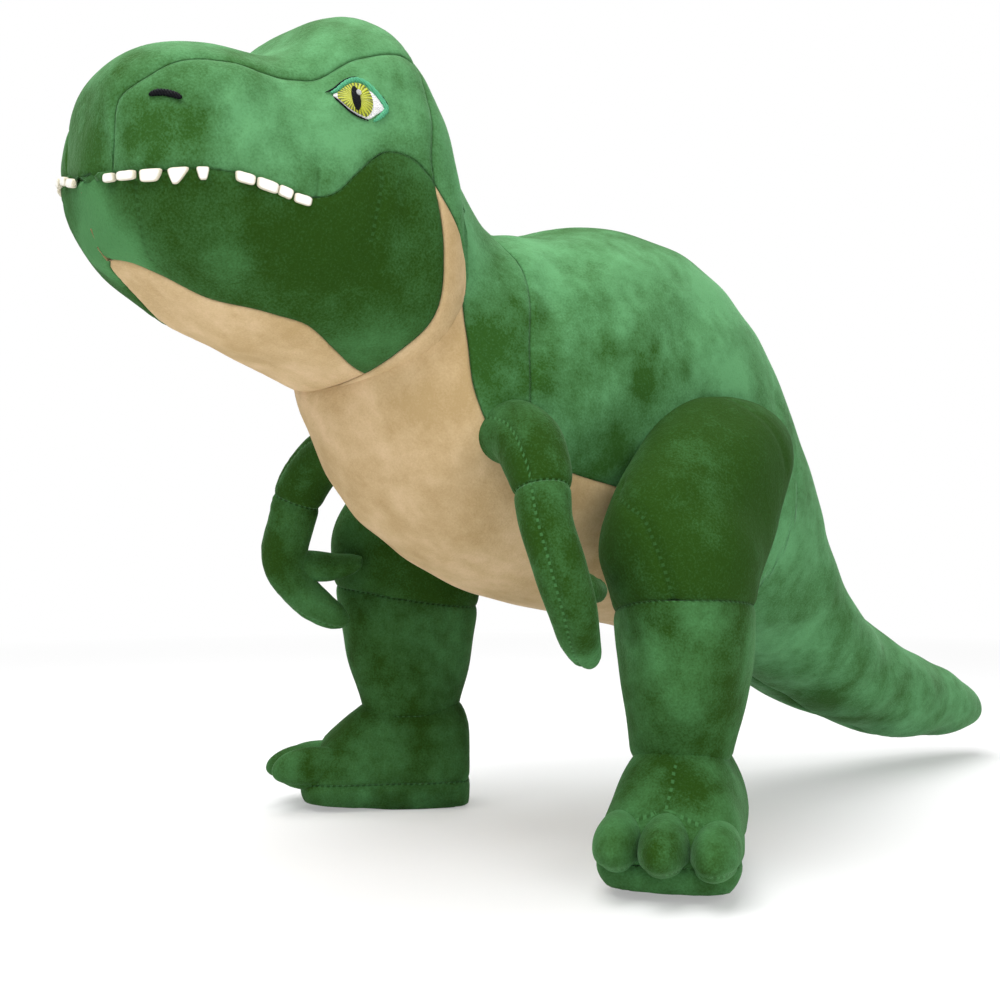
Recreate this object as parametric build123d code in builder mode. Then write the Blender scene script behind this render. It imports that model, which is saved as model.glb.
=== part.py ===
from build123d import *
import os
from math import cos, sin, pi, radians, copysign

# Stuffed toy dinosaur, free-standing.  Millimetres, +Z up, the toy faces -Y, its left side is +X.
# The origin is on the floor, under the middle of the overall box.

# ---- driving dimensions -------------------------------------------------------------------------
SKIN = 2.0              # thickness of the short-pile cloth
SEAT = 0.8              # clearance between a cloth skin and the filling inside it
BREAK = 0.4             # clearance between two bodies where they turn on each other
TRIM = 0.6              # thickness of one layer of an eye
TRIM_SEAT = 0.3         # clearance under sewn-on trim
TOOTH = 2.4             # thickness of a tooth
REACH = 200.0           # half length of the cutting tools, longer than the toy is wide

NECK_Y, NECK_Z = -146.0, 208.0      # nodding axis, parallel to X
NECK_LEAN = 30.0                    # lean of the neck cut from the vertical, degrees
NECK_SPLIT = 10.0                   # opening on each side of the neck cut, degrees
NECK_BALL = 36.0                    # radius of the filling that carries the head

TAIL_Y, TAIL_Z = 76.0, 87.0         # wagging axis, parallel to Z
TAIL_SPLIT = 17.0                   # opening on each side of the tail cut, degrees
TAIL_BALL = 27.0                    # radius of the filling that carries the tail
BALL_GAP = 0.4                      # clearance round both balls

HIP_X, HIP_Y, HIP_Z = 57.0, -48.0, 132.0
HIP_POCKET = 46.0                   # radius of the flat seat of a thigh on the flank

SHOULDER_X, SHOULDER_Y, SHOULDER_Z = 46.0, -130.0, 158.0
SHOULDER_POCKET = 14.5              # radius of the flat seat of an arm

ANKLE_X, ANKLE_Y, ANKLE_Z = 83.0, -74.0, 43.0
ANKLE_NECK = 15.0                   # radius of the filling that runs through the ankle
KNEE_Z = 97.0
ELBOW_Z = 137.0
SPLAY = 36.0                        # outward turn of each foot, degrees
SOLE = 3.0                          # thickness of the sole
BOARD = 2.0                         # thickness of the insole board
ANKLE_RUN = 30.0                    # length of the filling that runs through the ankle
POUCH_R = 14.0                      # radius of the pellet pouch over the heel
TOE_LINE = 44.0                     # how far ahead of the ankle the toe cap starts

RING_POINTS = 12

# ---- cross-sections -----------------------------------------------------------------------------
# (top y, top z, low y, low z, half width, roundness); a roundness of 2 is an ellipse
HEAD_RINGS = [
    (-265, 254, -264, 226, 15, 2.0),
    (-261, 270, -259, 213, 30, 2.1),
    (-249, 281, -249, 206, 42, 2.3),
    (-233, 286, -236, 199, 48, 2.4),
    (-212, 286, -220, 191, 52, 2.4),
    (-192, 302, -195, 182, 58, 2.4),
    (-173, 307, -174, 175, 62, 2.3),
    (-163, 296, -156, 172, 60, 2.3),
    (-157, 282, -145, 179, 53, 2.2),
    (-152, 270, -138, 190, 41, 2.0),
]
TORSO_RINGS = [
    (-134, 256, -179, 198, 42, 2.0),
    (-121, 246, -172, 178, 49, 2.0),
    (-98, 240, -160, 144, 58, 2.1),
    (-62, 249, -131, 116, 66, 2.2),
    (-22, 248, -89, 96, 70, 2.2),
    (9, 232, -42, 87, 70, 2.2),
    (32, 206, 4, 77, 64, 2.1),
    (55, 171, 46, 62, 54, 2.0),
    (76, 135, 82, 47, 44, 2.0),
    (109, 99, 114, 34, 37, 2.0),
    (154, 75, 152, 22, 30, 2.0),
    (204, 57, 195, 15, 24, 2.0),
    (244, 41, 232, 13, 16, 2.0),
    (269, 26, 267, 19, 5, 2.0),
]
# (height, x, y, half width, half depth, outward turn) of the leg between ankle and flank
LEG_RINGS = [
    (35, ANKLE_X, ANKLE_Y, 17.5, 20, SPLAY),
    (ANKLE_Z, ANKLE_X, ANKLE_Y, 18, 21, SPLAY),
    (62, 84, -74, 20.5, 26, SPLAY),
    (80, 85, -74, 24, 29.5, SPLAY),
    (KNEE_Z, 85.5, -73.5, 26, 31.5, SPLAY),
    (114, 86, -70, 25.5, 36, 24),
    (132, 84, -60, 25, 38, 8),
    (150, 80, -50, 20, 33, 0),
]
# (x, y, z, radius) of the thigh from the flank outwards
THIGH_RINGS = [
    (HIP_X, HIP_Y, HIP_Z, 43.5),
    (70, -48, 132, 43),
    (80, -50, 131, 39.5),
    (92, -56, 129, 31.5),
    (101, -62, 127, 22),
    (106, -66, 125, 10),
]
# (distance ahead of the ankle, underside, top, half width)
FOOT_RINGS = [
    (-27, 6, 22, 9),
    (-24, -4, 31, 17),
    (-13, -5, 40, 21),
    (0, -5, 43, 22),
    (16, -5, 38, 23),
    (32, -4, 32, 24),
    (TOE_LINE, -1, 27, 24),
]
TOES = [(-15.5, 0.0), (0.0, 4.0), (15.5, 0.0)]          # (sideways, extra length) of each toe
# (distance ahead of the toe line, half width, half height) of a toe
TOE_RINGS = [(0.0, 8.6, 11.0), (7.0, 8.8, 11.0), (12.0, 7.6, 9.5), (15.0, 5.2, 6.5), (16.2, 2.0, 2.5)]
TOE_LIFT = 15.0                     # height of the middle of a toe
# (x, y, z, radius) down the arm and along its upper finger
ARM_PATH = [
    (SHOULDER_X, SHOULDER_Y, SHOULDER_Z, 12.0),
    (60, -131, 157, 12.3),
    (72, -134, 146, 11.8),
    (80, -137, 128, 10.4),
    (87, -137, 110, 9.4),
    (87, -131, 96, 8.1),
    (82, -122, 86, 6.5),
    (77, -114, 80, 4.0),
]
FINGER_PATH = [(88, -134, 108, 6.0), (85, -126, 107, 6.0), (80, -116, 106, 5.5), (76, -109, 107, 3.5)]

# ---- seams, seen from the side as (y, z) or from above as (x, y) --------------------------------
MOUTH_SEAM = [
    (-300, 237), (-262, 237), (-244, 235), (-232, 232), (-214, 227), (-206, 230),
    (-197, 239), (-188, 247), (-180, 246), (-172, 241), (-164, 234), (-140, 228), (-100, 226),
]
HEAD_BACK_Y = -168.0
NAPE_RINGS = 5                      # how many body rings make the neck
GUSSET_HALF = [
    (12, -300), (12, -262), (20, -259), (29, -252), (34, -241),
    (39, -222), (46, -203), (49, -192), (49, -168),
]
THROAT_HALF = [(0, -256), (9, -247), (17, -231), (30, -213), (33, -203), (29, -189), (23, -174), (20, -140)]
THROAT_TOP = 222.0
CHEST_SEAM = [
    (-300, 214), (-150, 214), (-150, 193), (-146, 170), (-138, 156), (-105, 144), (-83, 139),
    (-50, 128), (-15, 106), (10, 60), (10, -20),
]
SHOULDER_SEAM = [(-102, 270), (-117, 232), (-120, 214), (-125, 190), (-126, 177), (-125, 150), (-120, 120)]
EYE_Y, EYE_Z = -198.0, 262.5
EYE_OUTLINE = [
    (-205, 264), (-201, 269.5), (-195, 271.5), (-189, 268),
    (-186.5, 261.5), (-190, 256.5), (-196, 255), (-202, 258.5),
]
IRIS_R = 5.6
PUPIL = (1.5, 4.2)                  # half width and half height
LID = 1.22                          # size of the lid over that of the eye
NOSTRIL = [(-255.5, 259.5), (-250, 260), (-245, 258), (-249.5, 257), (-254, 257)]
# (bearing from straight ahead in degrees, width, top, bottom) of the teeth of one side
TEETH = [
    (12, 7.5, 238.5, 234.0),
    (23, 8.0, 237.5, 232.5),
    (34.5, 8.5, 236.5, 230.5),
    (46, 7.5, 236.0, 228.5),
    (54, 4.5, 236.0, 231.0),
    (68, 6.0, 234.0, 229.0),
    (75.5, 6.0, 232.5, 227.5),
    (82, 4.5, 230.5, 225.5),
    (88, 4.5, 229.0, 224.0),
]
MOUTH_Y = -215.0                    # the teeth are set out round this point
TOOTH_START, TOOTH_RUN = 20.0, 60.0 # where a tooth's cutting tool starts from there, and its length
TOOTH_CORNER = 0.35                 # corner radius, as a share of a tooth's shorter side
EYE_PLANE_X = 20.0                  # inside the head, where the outlines of eye and nostril are drawn


# ---- helpers ------------------------------------------------------------------------------------
def oval_face(plane, half_width, half_height, roundness=2.0):
    """Face inside |x/a|^n + |y/b|^n = 1, through evenly turned points."""
    points = []
    for i in range(RING_POINTS):
        turn = 2 * pi * i / RING_POINTS
        u = copysign(abs(cos(turn)) ** (2 / roundness), cos(turn))
        v = copysign(abs(sin(turn)) ** (2 / roundness), sin(turn))
        points.append((half_width * u, half_height * v))
    with BuildSketch(plane) as face:
        with BuildLine():
            Spline(*points, periodic=True)
        make_face()
    return face.sketch


def lofted(faces):
    with BuildPart() as form:
        loft(faces)
    return form.part


def skin_form(rings, grow):
    """Head, body or tail: a loft of side-view rings, every ring larger by grow."""
    middles = [Vector(0, (r[0] + r[2]) / 2, (r[1] + r[3]) / 2) for r in rings]
    middles[0] += (middles[0] - middles[1]).normalized() * grow
    middles[-1] += (middles[-1] - middles[-2]).normalized() * grow
    faces = []
    for middle, (top_y, top_z, low_y, low_z, half_width, roundness) in zip(middles, rings):
        up = Vector(0, top_y - low_y, top_z - low_z)
        plane = Plane(origin=middle, x_dir=(1, 0, 0), z_dir=Vector(1, 0, 0).cross(up))
        faces.append(oval_face(plane, half_width + grow, up.length / 2 + grow, roundness))
    return lofted(faces)


def tube_form(path, grow):
    """Arm or finger: a loft of round sections square to the path; the root ends square to X."""
    faces = []
    for i, (x, y, z, radius) in enumerate(path):
        before, after = path[max(i - 1, 0)], path[min(i + 1, len(path) - 1)]
        along = Vector(*after[:3]) - Vector(*before[:3])
        if i == 0:
            along = Vector(1, 0, 0) if path is ARM_PATH else along
        shift = along.normalized() * (grow if i == len(path) - 1 else 0)
        plane = Plane(origin=Vector(x, y, z) + shift, x_dir=Vector(0, 1, 0).cross(along), z_dir=along)
        faces.append(oval_face(plane, radius + grow, radius + grow))
    return lofted(faces)


def leg_form(grow):
    """Leg down to the ankle, with the round thigh that lies against the flank."""
    column = []
    for z, x, y, half_width, half_depth, outward in LEG_RINGS:
        a = radians(outward)
        level = Plane((x, y, z), (cos(a), sin(a), 0), (0, 0, 1))
        column.append(oval_face(level, half_width + grow, half_depth + grow))
    dome = []
    for i, (x, y, z, radius) in enumerate(THIGH_RINGS):
        out = grow if i == len(THIGH_RINGS) - 1 else 0
        dome.append(oval_face(Plane((x + out, y, z), (0, 1, 0), (1, 0, 0)), radius + grow, radius + grow))
    with BuildPart() as form:
        loft(column)
        loft(dome)
    return form.part


def foot_plane(ahead, height=0.0, aside=0.0):
    """Plane square to the left foot, looking along it."""
    a = radians(SPLAY)
    forward, sideways = Vector(sin(a), -cos(a), 0), Vector(cos(a), sin(a), 0)
    origin = Vector(ANKLE_X, ANKLE_Y, height) + forward * ahead + sideways * aside
    return Plane(origin=origin, x_dir=sideways, z_dir=forward)


def foot_form(grow):
    faces = []
    for ahead, low, top, half_width in FOOT_RINGS:
        plane = foot_plane(ahead - (grow if ahead == FOOT_RINGS[0][0] else 0), (low + top) / 2)
        faces.append(oval_face(plane, half_width + grow, (top - low) / 2 + grow, 2.3))
    return lofted(faces)


def side_prism(points):
    """Closed outline in the YZ plane, drawn out both ways along X."""
    with BuildPart() as prism:
        with BuildSketch(Plane.YZ):
            with BuildLine():
                Polyline(*points, close=True)
            make_face()
        extrude(amount=REACH, both=True)
    return prism.part


def plan_prism(half_outline, low, high):
    """Half outline (x, y) mirrored in X and raised from low to high."""
    points = half_outline + [(-x, y) for x, y in reversed(half_outline)]
    with BuildPart() as prism:
        with BuildSketch(Plane.XY.offset(low)):
            with BuildLine():
                Polyline(*points, close=True)
            make_face()
        extrude(amount=high - low)
    return prism.part


def block(x0, x1, y0, y1, z0, z1):
    with BuildPart() as box:
        with Locations(((x0 + x1) / 2, (y0 + y1) / 2, (z0 + z1) / 2)):
            Box(x1 - x0, y1 - y0, z1 - z0)
    return box.part


def rod(x0, x1, y, z, radius):
    """Cylinder along X."""
    with BuildPart() as cylinder:
        with BuildSketch(Plane((x0, y, z), (0, 1, 0), (1, 0, 0))):
            Circle(radius)
        extrude(amount=x1 - x0)
    return cylinder.part


def ball(y, z, radius):
    with BuildPart() as sphere:
        with Locations((0, y, z)):
            Sphere(radius)
    return sphere.part


def carve(start, keep=(), drop=()):
    """Start solid, kept inside every tool of keep and cleared of every tool of drop."""
    with BuildPart() as piece:
        add(start)
        for tool in keep:
            add(tool, mode=Mode.INTERSECT)
        for tool in drop:
            add(tool, mode=Mode.SUBTRACT)
    return piece.part


def other_side(solid):
    with BuildPart() as twin:
        mirror(solid, about=Plane.YZ)
    return twin.part


pieces = {}


def keep_piece(name, solid):
    pieces[name] = solid


def keep_pair(name, solid):
    keep_piece("left_" + name, solid)
    keep_piece("right_" + name, other_side(solid))


# ---- shared cutting tools -----------------------------------------------------------------------
def neck_half_space(turn, offset, ahead):
    """Block on one side of the plane through the nodding axis, turned from the neck cut."""
    a = radians(NECK_LEAN + turn)
    up, forward = Vector(0, sin(a), cos(a)), Vector(0, -cos(a), sin(a))
    side = forward if ahead else -forward
    centre = Vector(0, NECK_Y, NECK_Z) + forward * offset
    with BuildPart() as half:
        with BuildSketch(Plane(centre, (1, 0, 0), side)):
            Rectangle(2 * REACH, 4 * REACH)
        extrude(amount=4 * REACH)
    return half.part


def tail_half_space(turn, offset, behind):
    """Block on one side of the upright plane through the wagging axis."""
    a = radians(turn)
    backward = Vector(sin(a), cos(a), 0)
    side = backward if behind else -backward
    centre = Vector(0, TAIL_Y, TAIL_Z) + backward * offset
    with BuildPart() as half:
        with BuildSketch(Plane(centre, (0, 0, 1), side)):
            Rectangle(4 * REACH, 4 * REACH)
        extrude(amount=4 * REACH)
    return half.part


left_half = block(0, REACH, -2 * REACH, 2 * REACH, -REACH, 2 * REACH)

# ---- head ---------------------------------------------------------------------------------------
ahead_of_neck = neck_half_space(0, BREAK / 2, True)
neck_socket = ball(NECK_Y, NECK_Z, NECK_BALL + BALL_GAP)


def head_form(grow):
    """Head with the nape that reaches back to the neck cut."""
    with BuildPart() as form:
        add(skin_form(HEAD_RINGS, grow))
        add(skin_form(TORSO_RINGS[:NAPE_RINGS], grow))
        add(ahead_of_neck, mode=Mode.INTERSECT)
    return form.part


head_hollow = [skin_form(HEAD_RINGS, -SKIN), skin_form(TORSO_RINGS[:NAPE_RINGS], -SKIN)]
head_shell = carve(head_form(0), drop=head_hollow + [neck_socket])

jaw_block = side_prism(MOUTH_SEAM + [(-100, 100), (-300, 100)])
gusset_block = plan_prism(GUSSET_HALF, 150, 340)
throat_block = plan_prism(THROAT_HALF, 100, THROAT_TOP)
face_block = block(-REACH, REACH, -300, HEAD_BACK_Y, 100, 400)

upper_head = carve(head_shell, drop=[jaw_block])
lower_head = carve(head_shell, [jaw_block])
face_shell = carve(upper_head, [face_block])
keep_piece("head_top_panel", carve(face_shell, [gusset_block]))
keep_pair("head_side_panel", carve(face_shell, [left_half], [gusset_block]))
keep_pair("nape_panel", carve(upper_head, [left_half], [face_block]))
keep_piece("throat_panel", carve(lower_head, [throat_block]))
keep_pair("jaw_panel", carve(lower_head, [left_half], [throat_block]))
half_filling = carve(head_form(-SKIN - SEAT), [left_half], [neck_socket])
with BuildPart() as head_filling:
    add(half_filling)
    mirror(half_filling, about=Plane.YZ)
keep_piece("head_filling", head_filling.part)


def on_head(outline_solid, low, high):
    """Part of a tool that lies between two depths over the face."""
    return carve(skin_form(HEAD_RINGS, high), [outline_solid], [skin_form(HEAD_RINGS, low)])


def eye_tool(face):
    """Outline on the side of the head, drawn out along X."""
    with BuildPart() as tool:
        extrude(face, amount=REACH, dir=(1, 0, 0))
    return tool.part


EYE_PLANE = Plane.YZ.offset(EYE_PLANE_X)
with BuildSketch(EYE_PLANE) as eye_white_face:
    with BuildLine():
        Spline(*EYE_OUTLINE, periodic=True)
    make_face()
with BuildSketch(EYE_PLANE) as iris_face:
    with Locations((EYE_Y, EYE_Z)):
        Circle(IRIS_R)
with BuildSketch(EYE_PLANE) as pupil_face:
    with Locations((EYE_Y, EYE_Z)):
        Ellipse(*PUPIL)
with BuildSketch(EYE_PLANE) as lid_face:
    with BuildLine():
        lid_outline = [(EYE_Y + LID * (y - EYE_Y), EYE_Z + LID * (z - EYE_Z)) for y, z in EYE_OUTLINE]
        Spline(*lid_outline, periodic=True)
    make_face()
with BuildSketch(EYE_PLANE) as nostril_face:
    with BuildLine():
        Spline(*NOSTRIL, periodic=True)
    make_face()

eye_layer = TRIM + TRIM_SEAT
keep_pair("eye_white", on_head(eye_tool(eye_white_face.sketch), TRIM_SEAT, eye_layer))
keep_pair("iris", on_head(eye_tool(iris_face.sketch), TRIM_SEAT + eye_layer, 2 * eye_layer))
keep_pair("pupil", on_head(eye_tool(pupil_face.sketch), TRIM_SEAT + 2 * eye_layer, 3 * eye_layer))
lid_patch = on_head(eye_tool(lid_face.sketch), TRIM_SEAT, eye_layer)
keep_pair("eyelid", carve(lid_patch, drop=[eye_tool(eye_white_face.sketch)]))
keep_pair("nostril", on_head(eye_tool(nostril_face.sketch), TRIM_SEAT, eye_layer))


def tooth_block(bearing, width, top, bottom):
    """Radial block that marks out one tooth on the mouth seam."""
    a = radians(bearing)
    outward, sideways = Vector(sin(a), -cos(a), 0), Vector(cos(a), sin(a), 0)
    with BuildPart() as marked:
        start = Vector(0, MOUTH_Y, (top + bottom) / 2) + outward * TOOTH_START
        with BuildSketch(Plane(start, sideways, outward)):
            RectangleRounded(width, top - bottom, min(width, top - bottom) * TOOTH_CORNER)
        extrude(amount=TOOTH_RUN)
    return marked.part


tooth_skin = carve(skin_form(HEAD_RINGS, TRIM_SEAT + TOOTH), drop=[skin_form(HEAD_RINGS, TRIM_SEAT)])
with BuildPart() as tooth_blocks:
    for tooth in TEETH:
        add(tooth_block(*tooth))
keep_pair("teeth", carve(tooth_skin, [tooth_blocks.part]))

# ---- body ---------------------------------------------------------------------------------------
body_tools = [
    neck_half_space(NECK_SPLIT, -BREAK / 2, False),
    neck_half_space(-NECK_SPLIT, -BREAK / 2, False),
    tail_half_space(TAIL_SPLIT, -BREAK / 2, False),
    tail_half_space(-TAIL_SPLIT, -BREAK / 2, False),
]
hip_seat = rod(HIP_X - BREAK, REACH, HIP_Y, HIP_Z, HIP_POCKET)
shoulder_seat = rod(SHOULDER_X - BREAK, REACH, SHOULDER_Y, SHOULDER_Z, SHOULDER_POCKET)
seats = [hip_seat, shoulder_seat, other_side(hip_seat), other_side(shoulder_seat)]
body_outside = skin_form(TORSO_RINGS, 0)
body_inside = skin_form(TORSO_RINGS, -SKIN)
whole_shell = carve(body_outside, drop=[body_inside])
body_shell = carve(whole_shell, body_tools, seats)

chest_block = side_prism(CHEST_SEAM + [(-300, -20)])
neck_block = side_prism(SHOULDER_SEAM + [(-300, 120), (-300, 270)])
keep_piece("belly_panel", carve(body_shell, [chest_block]))
back_shell = carve(body_shell, [left_half], [chest_block])
keep_pair("neck_panel", carve(back_shell, [neck_block]))
keep_pair("flank_panel", carve(back_shell, drop=[neck_block]))
body_core = carve(skin_form(TORSO_RINGS, -SKIN - SEAT), body_tools)
with BuildPart() as body_filling:
    add(body_core)
    add(ball(NECK_Y, NECK_Z, NECK_BALL))
    add(ball(TAIL_Y, TAIL_Z, TAIL_BALL))
    for seat in seats:
        add(seat, mode=Mode.SUBTRACT)
keep_piece("body_filling", body_filling.part)

# ---- tail ---------------------------------------------------------------------------------------
behind_root = tail_half_space(0, BREAK / 2, True)
tail_socket = ball(TAIL_Y, TAIL_Z, TAIL_BALL + BALL_GAP)
keep_pair("tail_panel", carve(whole_shell, [behind_root, left_half], [tail_socket]))
keep_piece("tail_filling", carve(skin_form(TORSO_RINGS, -SKIN - SEAT), [behind_root], [tail_socket]))

# ---- legs ---------------------------------------------------------------------------------------
leg_outside = leg_form(0)
leg_inside = leg_form(-SKIN)
foot_outside = foot_form(0)
foot_inside = foot_form(-SKIN)


def ankle_bore(radius):
    with BuildPart() as bore:
        with Locations((ANKLE_X, ANKLE_Y, ANKLE_Z)):
            Cylinder(radius, ANKLE_RUN)
    return bore.part


above_knee = block(0, REACH, -REACH, REACH, KNEE_Z, REACH)
above_sole = block(0, REACH, -REACH, REACH, SOLE, REACH)
opening = ankle_bore(ANKLE_NECK + SEAT)
leg_shell = carve(leg_outside, drop=[leg_inside, opening])
keep_pair("thigh_panel", carve(leg_shell, [above_knee]))
keep_pair("shin_panel", carve(leg_shell, drop=[above_knee]))
keep_pair("foot_upper", carve(foot_outside, [above_sole], [foot_inside, opening, leg_outside]))
keep_pair("sole", carve(foot_outside, [block(0, REACH, -REACH, REACH, 0, SOLE)]))
board_low = SOLE + SEAT
foot_core = foot_form(-SKIN - SEAT)
keep_pair("insole_board", carve(foot_core, [block(0, REACH, -REACH, REACH, board_low, board_low + BOARD)]))


def pouch(radius):
    with BuildPart() as bag:
        with Locations((ANKLE_X, ANKLE_Y, board_low + BOARD + SEAT + SEAT + POUCH_R)):
            Sphere(radius)
    return bag.part


with BuildPart() as leg_filling:
    add(carve(foot_core, [block(0, REACH, -REACH, REACH, board_low + BOARD + SEAT, REACH)]))
    add(leg_form(-SKIN - SEAT))
    add(ankle_bore(ANKLE_NECK))
    add(pouch(POUCH_R + SEAT), mode=Mode.SUBTRACT)
keep_pair("leg_filling", leg_filling.part)
keep_pair("pellet_pouch", pouch(POUCH_R))


def toe_form(aside, extra):
    faces = []
    for ahead, half_width, half_height in TOE_RINGS:
        stretch = 1 + extra / TOE_RINGS[-1][0]
        plane = foot_plane(TOE_LINE + SEAT + ahead * stretch, TOE_LIFT, aside)
        faces.append(oval_face(plane, half_width, half_height))
    return lofted(faces)


with BuildPart() as toe_cap:
    for toe in TOES:
        add(toe_form(*toe))
keep_pair("toe_cap", toe_cap.part)

# ---- arms ---------------------------------------------------------------------------------------
arm_outside = tube_form(ARM_PATH, 0)
arm_inside = tube_form(ARM_PATH, -SKIN)
arm_shell = carve(arm_outside, drop=[arm_inside])
above_elbow = block(0, REACH, -REACH, REACH, ELBOW_Z, REACH)
keep_pair("upper_arm_panel", carve(arm_shell, [above_elbow]))
with BuildPart() as forearm:
    add(carve(arm_shell, drop=[above_elbow]))
    add(tube_form(FINGER_PATH, 0))
    add(arm_inside, mode=Mode.SUBTRACT)
keep_pair("forearm_panel", forearm.part)
keep_pair("arm_filling", tube_form(ARM_PATH, -SKIN - SEAT))

# ---- files --------------------------------------------------------------------------------------
os.makedirs("parts", exist_ok=True)
for name, solid in pieces.items():
    solid.label = name
    export_step(solid, "parts/" + name + ".step")
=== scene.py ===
import math

import bmesh
import bpy
import numpy as np
from bpy.props import FloatProperty, FloatVectorProperty, PointerProperty
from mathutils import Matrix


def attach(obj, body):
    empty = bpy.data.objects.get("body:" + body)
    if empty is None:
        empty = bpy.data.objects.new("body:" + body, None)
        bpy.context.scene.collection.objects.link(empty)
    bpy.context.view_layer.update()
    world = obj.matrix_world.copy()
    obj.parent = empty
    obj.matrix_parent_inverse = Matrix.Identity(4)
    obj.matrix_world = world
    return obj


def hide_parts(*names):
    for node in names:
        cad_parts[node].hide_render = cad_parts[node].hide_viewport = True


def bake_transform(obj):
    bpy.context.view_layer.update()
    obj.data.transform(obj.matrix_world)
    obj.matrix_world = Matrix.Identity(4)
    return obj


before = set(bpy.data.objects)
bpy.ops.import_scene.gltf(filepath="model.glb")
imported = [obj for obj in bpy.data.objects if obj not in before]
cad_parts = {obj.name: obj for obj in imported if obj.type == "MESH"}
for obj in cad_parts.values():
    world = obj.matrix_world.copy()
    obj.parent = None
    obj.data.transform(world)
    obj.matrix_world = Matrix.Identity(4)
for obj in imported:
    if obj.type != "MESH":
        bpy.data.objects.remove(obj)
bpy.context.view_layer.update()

bl_info = {
    "name": "Stuffed dinosaur",
    "version": (1, 0, 0),
    "blender": (4, 5, 0),
    "location": "View3D > Sidebar > Dinosaur",
    "description": "Dresses the packed stuffed dinosaur in sewn plush",
    "category": "Add Mesh",
}

MM = 0.001
SIDES = ("left", "right")
SIDE_VIEW, PLAN, FRONT_VIEW = [1, 2], [0, 1], [0, 2]
DOUBLE = 2e-6       # metres within which two points are one
SAMPLES = 400       # samples along a skin where a place on it is looked up
LOWEST = 0.1        # height in mm below which no cloth reaches
# Fullness given with each padded piece's panels.
FILL_BODY, FILL_LIMB, FILL_FOOT, FILL_TOOTH = 0.9, 0.85, 0.8, 1.0
# Lengths in mm of each panel along and across, which set its grid lines.
REACH = {
    "head_top": (190, 100), "head_side": (190, 64), "jaw": (190, 95), "throat": (190, 64), "neck": (105, 120),
    "flank": (470, 200), "belly": (300, 200), "thigh": (110, 260), "shin": (70, 200), "foot": (120, 150),
    "sole": (120, 90), "upper_arm": (70, 110), "forearm": (110, 90), "finger": (60, 60),
}

# Side-view rings: (top y, top z, low y, low z, half width, roundness), nose to nape.
HEAD_RINGS = np.array([
    (-266.5, 237, -266.5, 235, 1.5, 2.0), (-265, 254, -264, 226, 15, 2.0), (-261, 270, -259, 213, 30, 2.1),
    (-249, 280, -249, 206, 42, 2.3), (-233, 284.8, -236, 199, 48, 2.4), (-212, 285, -220, 191, 52, 2.4),
    (-192, 300, -195, 182, 58, 2.4), (-173, 304.8, -174, 175, 62, 2.3), (-163, 296, -156, 172, 60, 2.3),
    (-157, 282, -145, 179, 53, 2.2),
])
# Neck to tail tip.
TORSO_RINGS = np.array([
    (-121, 246, -172, 178, 49, 2.0), (-98, 240, -160, 144, 58, 2.1), (-62, 249, -131, 116, 66, 2.2),
    (-22, 248, -89, 96, 70, 2.2), (9, 232, -42, 87, 70, 2.2), (32, 206, 4, 77, 64, 2.1),
    (55, 171, 46, 62, 54, 2.0), (76, 135, 82, 47, 44, 2.0), (109, 99, 114, 34, 37, 2.0),
    (154, 75, 152, 22, 30, 2.0), (204, 57, 195, 15, 24, 2.0), (244, 41, 232, 13, 16, 2.0),
    (261, 30, 257, 17, 7, 2.0), (264.8, 23.5, 264.3, 21.5, 1, 2.0),
])
# Leg from the ankle to the top of the thigh: (z, middle x, middle y, half width, half depth, outward turn).
LEG_RINGS = np.array([
    (37, 83, -74, 18.5, 20.5, 36), (46, 83, -74, 19.5, 22.5, 36), (62, 84, -74, 22, 27.5, 36),
    (80, 85, -74, 24.7, 30.2, 36), (97, 85, -74, 26, 32.5, 36), (105, 84.5, -74, 27.5, 34.5, 31),
    (114, 84, -73, 29, 36.5, 24), (123, 82.5, -69, 28.5, 40.5, 18), (132, 80.5, -63, 26.5, 44, 14),
    (141, 79, -57, 26, 44, 14), (150, 77.5, -50, 25, 41.5, 12), (160, 75, -43, 22.5, 36, 8),
    (168, 71.5, -38, 19, 27.5, 4), (174, 68.5, -35, 13.5, 16.5, 0), (177, 66, -33, 2, 2, 0),
])
KNEE_Z = 97
# Foot along its own length: (ahead of the ankle, low, top, half width).
FOOT_RINGS = np.array([
    (-27, 11.9, 12.9, 0.3), (-26.7, 2, 27, 12), (-25.5, -1, 39, 17), (-22.5, -4, 46, 20.5),
    (-18, -5.5, 50, 22), (-10, -6, 52, 23), (0, -6, 52, 23.4), (12, -6, 51, 23.8), (21, -5.5, 46.5, 24.2),
    (29, -5, 40.5, 24.8), (36, -4, 34, 25), (41, -2.5, 29, 24.5), (45, -0.5, 24, 22.5), (48.3, 3, 19, 17),
    (49.7, 6, 16, 10), (50.3, 11.9, 12.9, 0.3),
])
ANKLE = np.array((83.0, -74.0, 0.0))
SPLAY = math.radians(36)
SOLE_SEAM_Z = 12.4
# Toes: (sideways, extra length, half width, height of the middle).
TOES = ((-16.2, 0.0, 8.4, 17.8), (0.2, 4.0, 9.0, 17.2), (16.4, 0.0, 8.8, 15.8))
TOE_ROOT, TOE_HALF, TOE_HEIGHTS = 42.0, 19.5, (11.0, 8.5)
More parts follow.
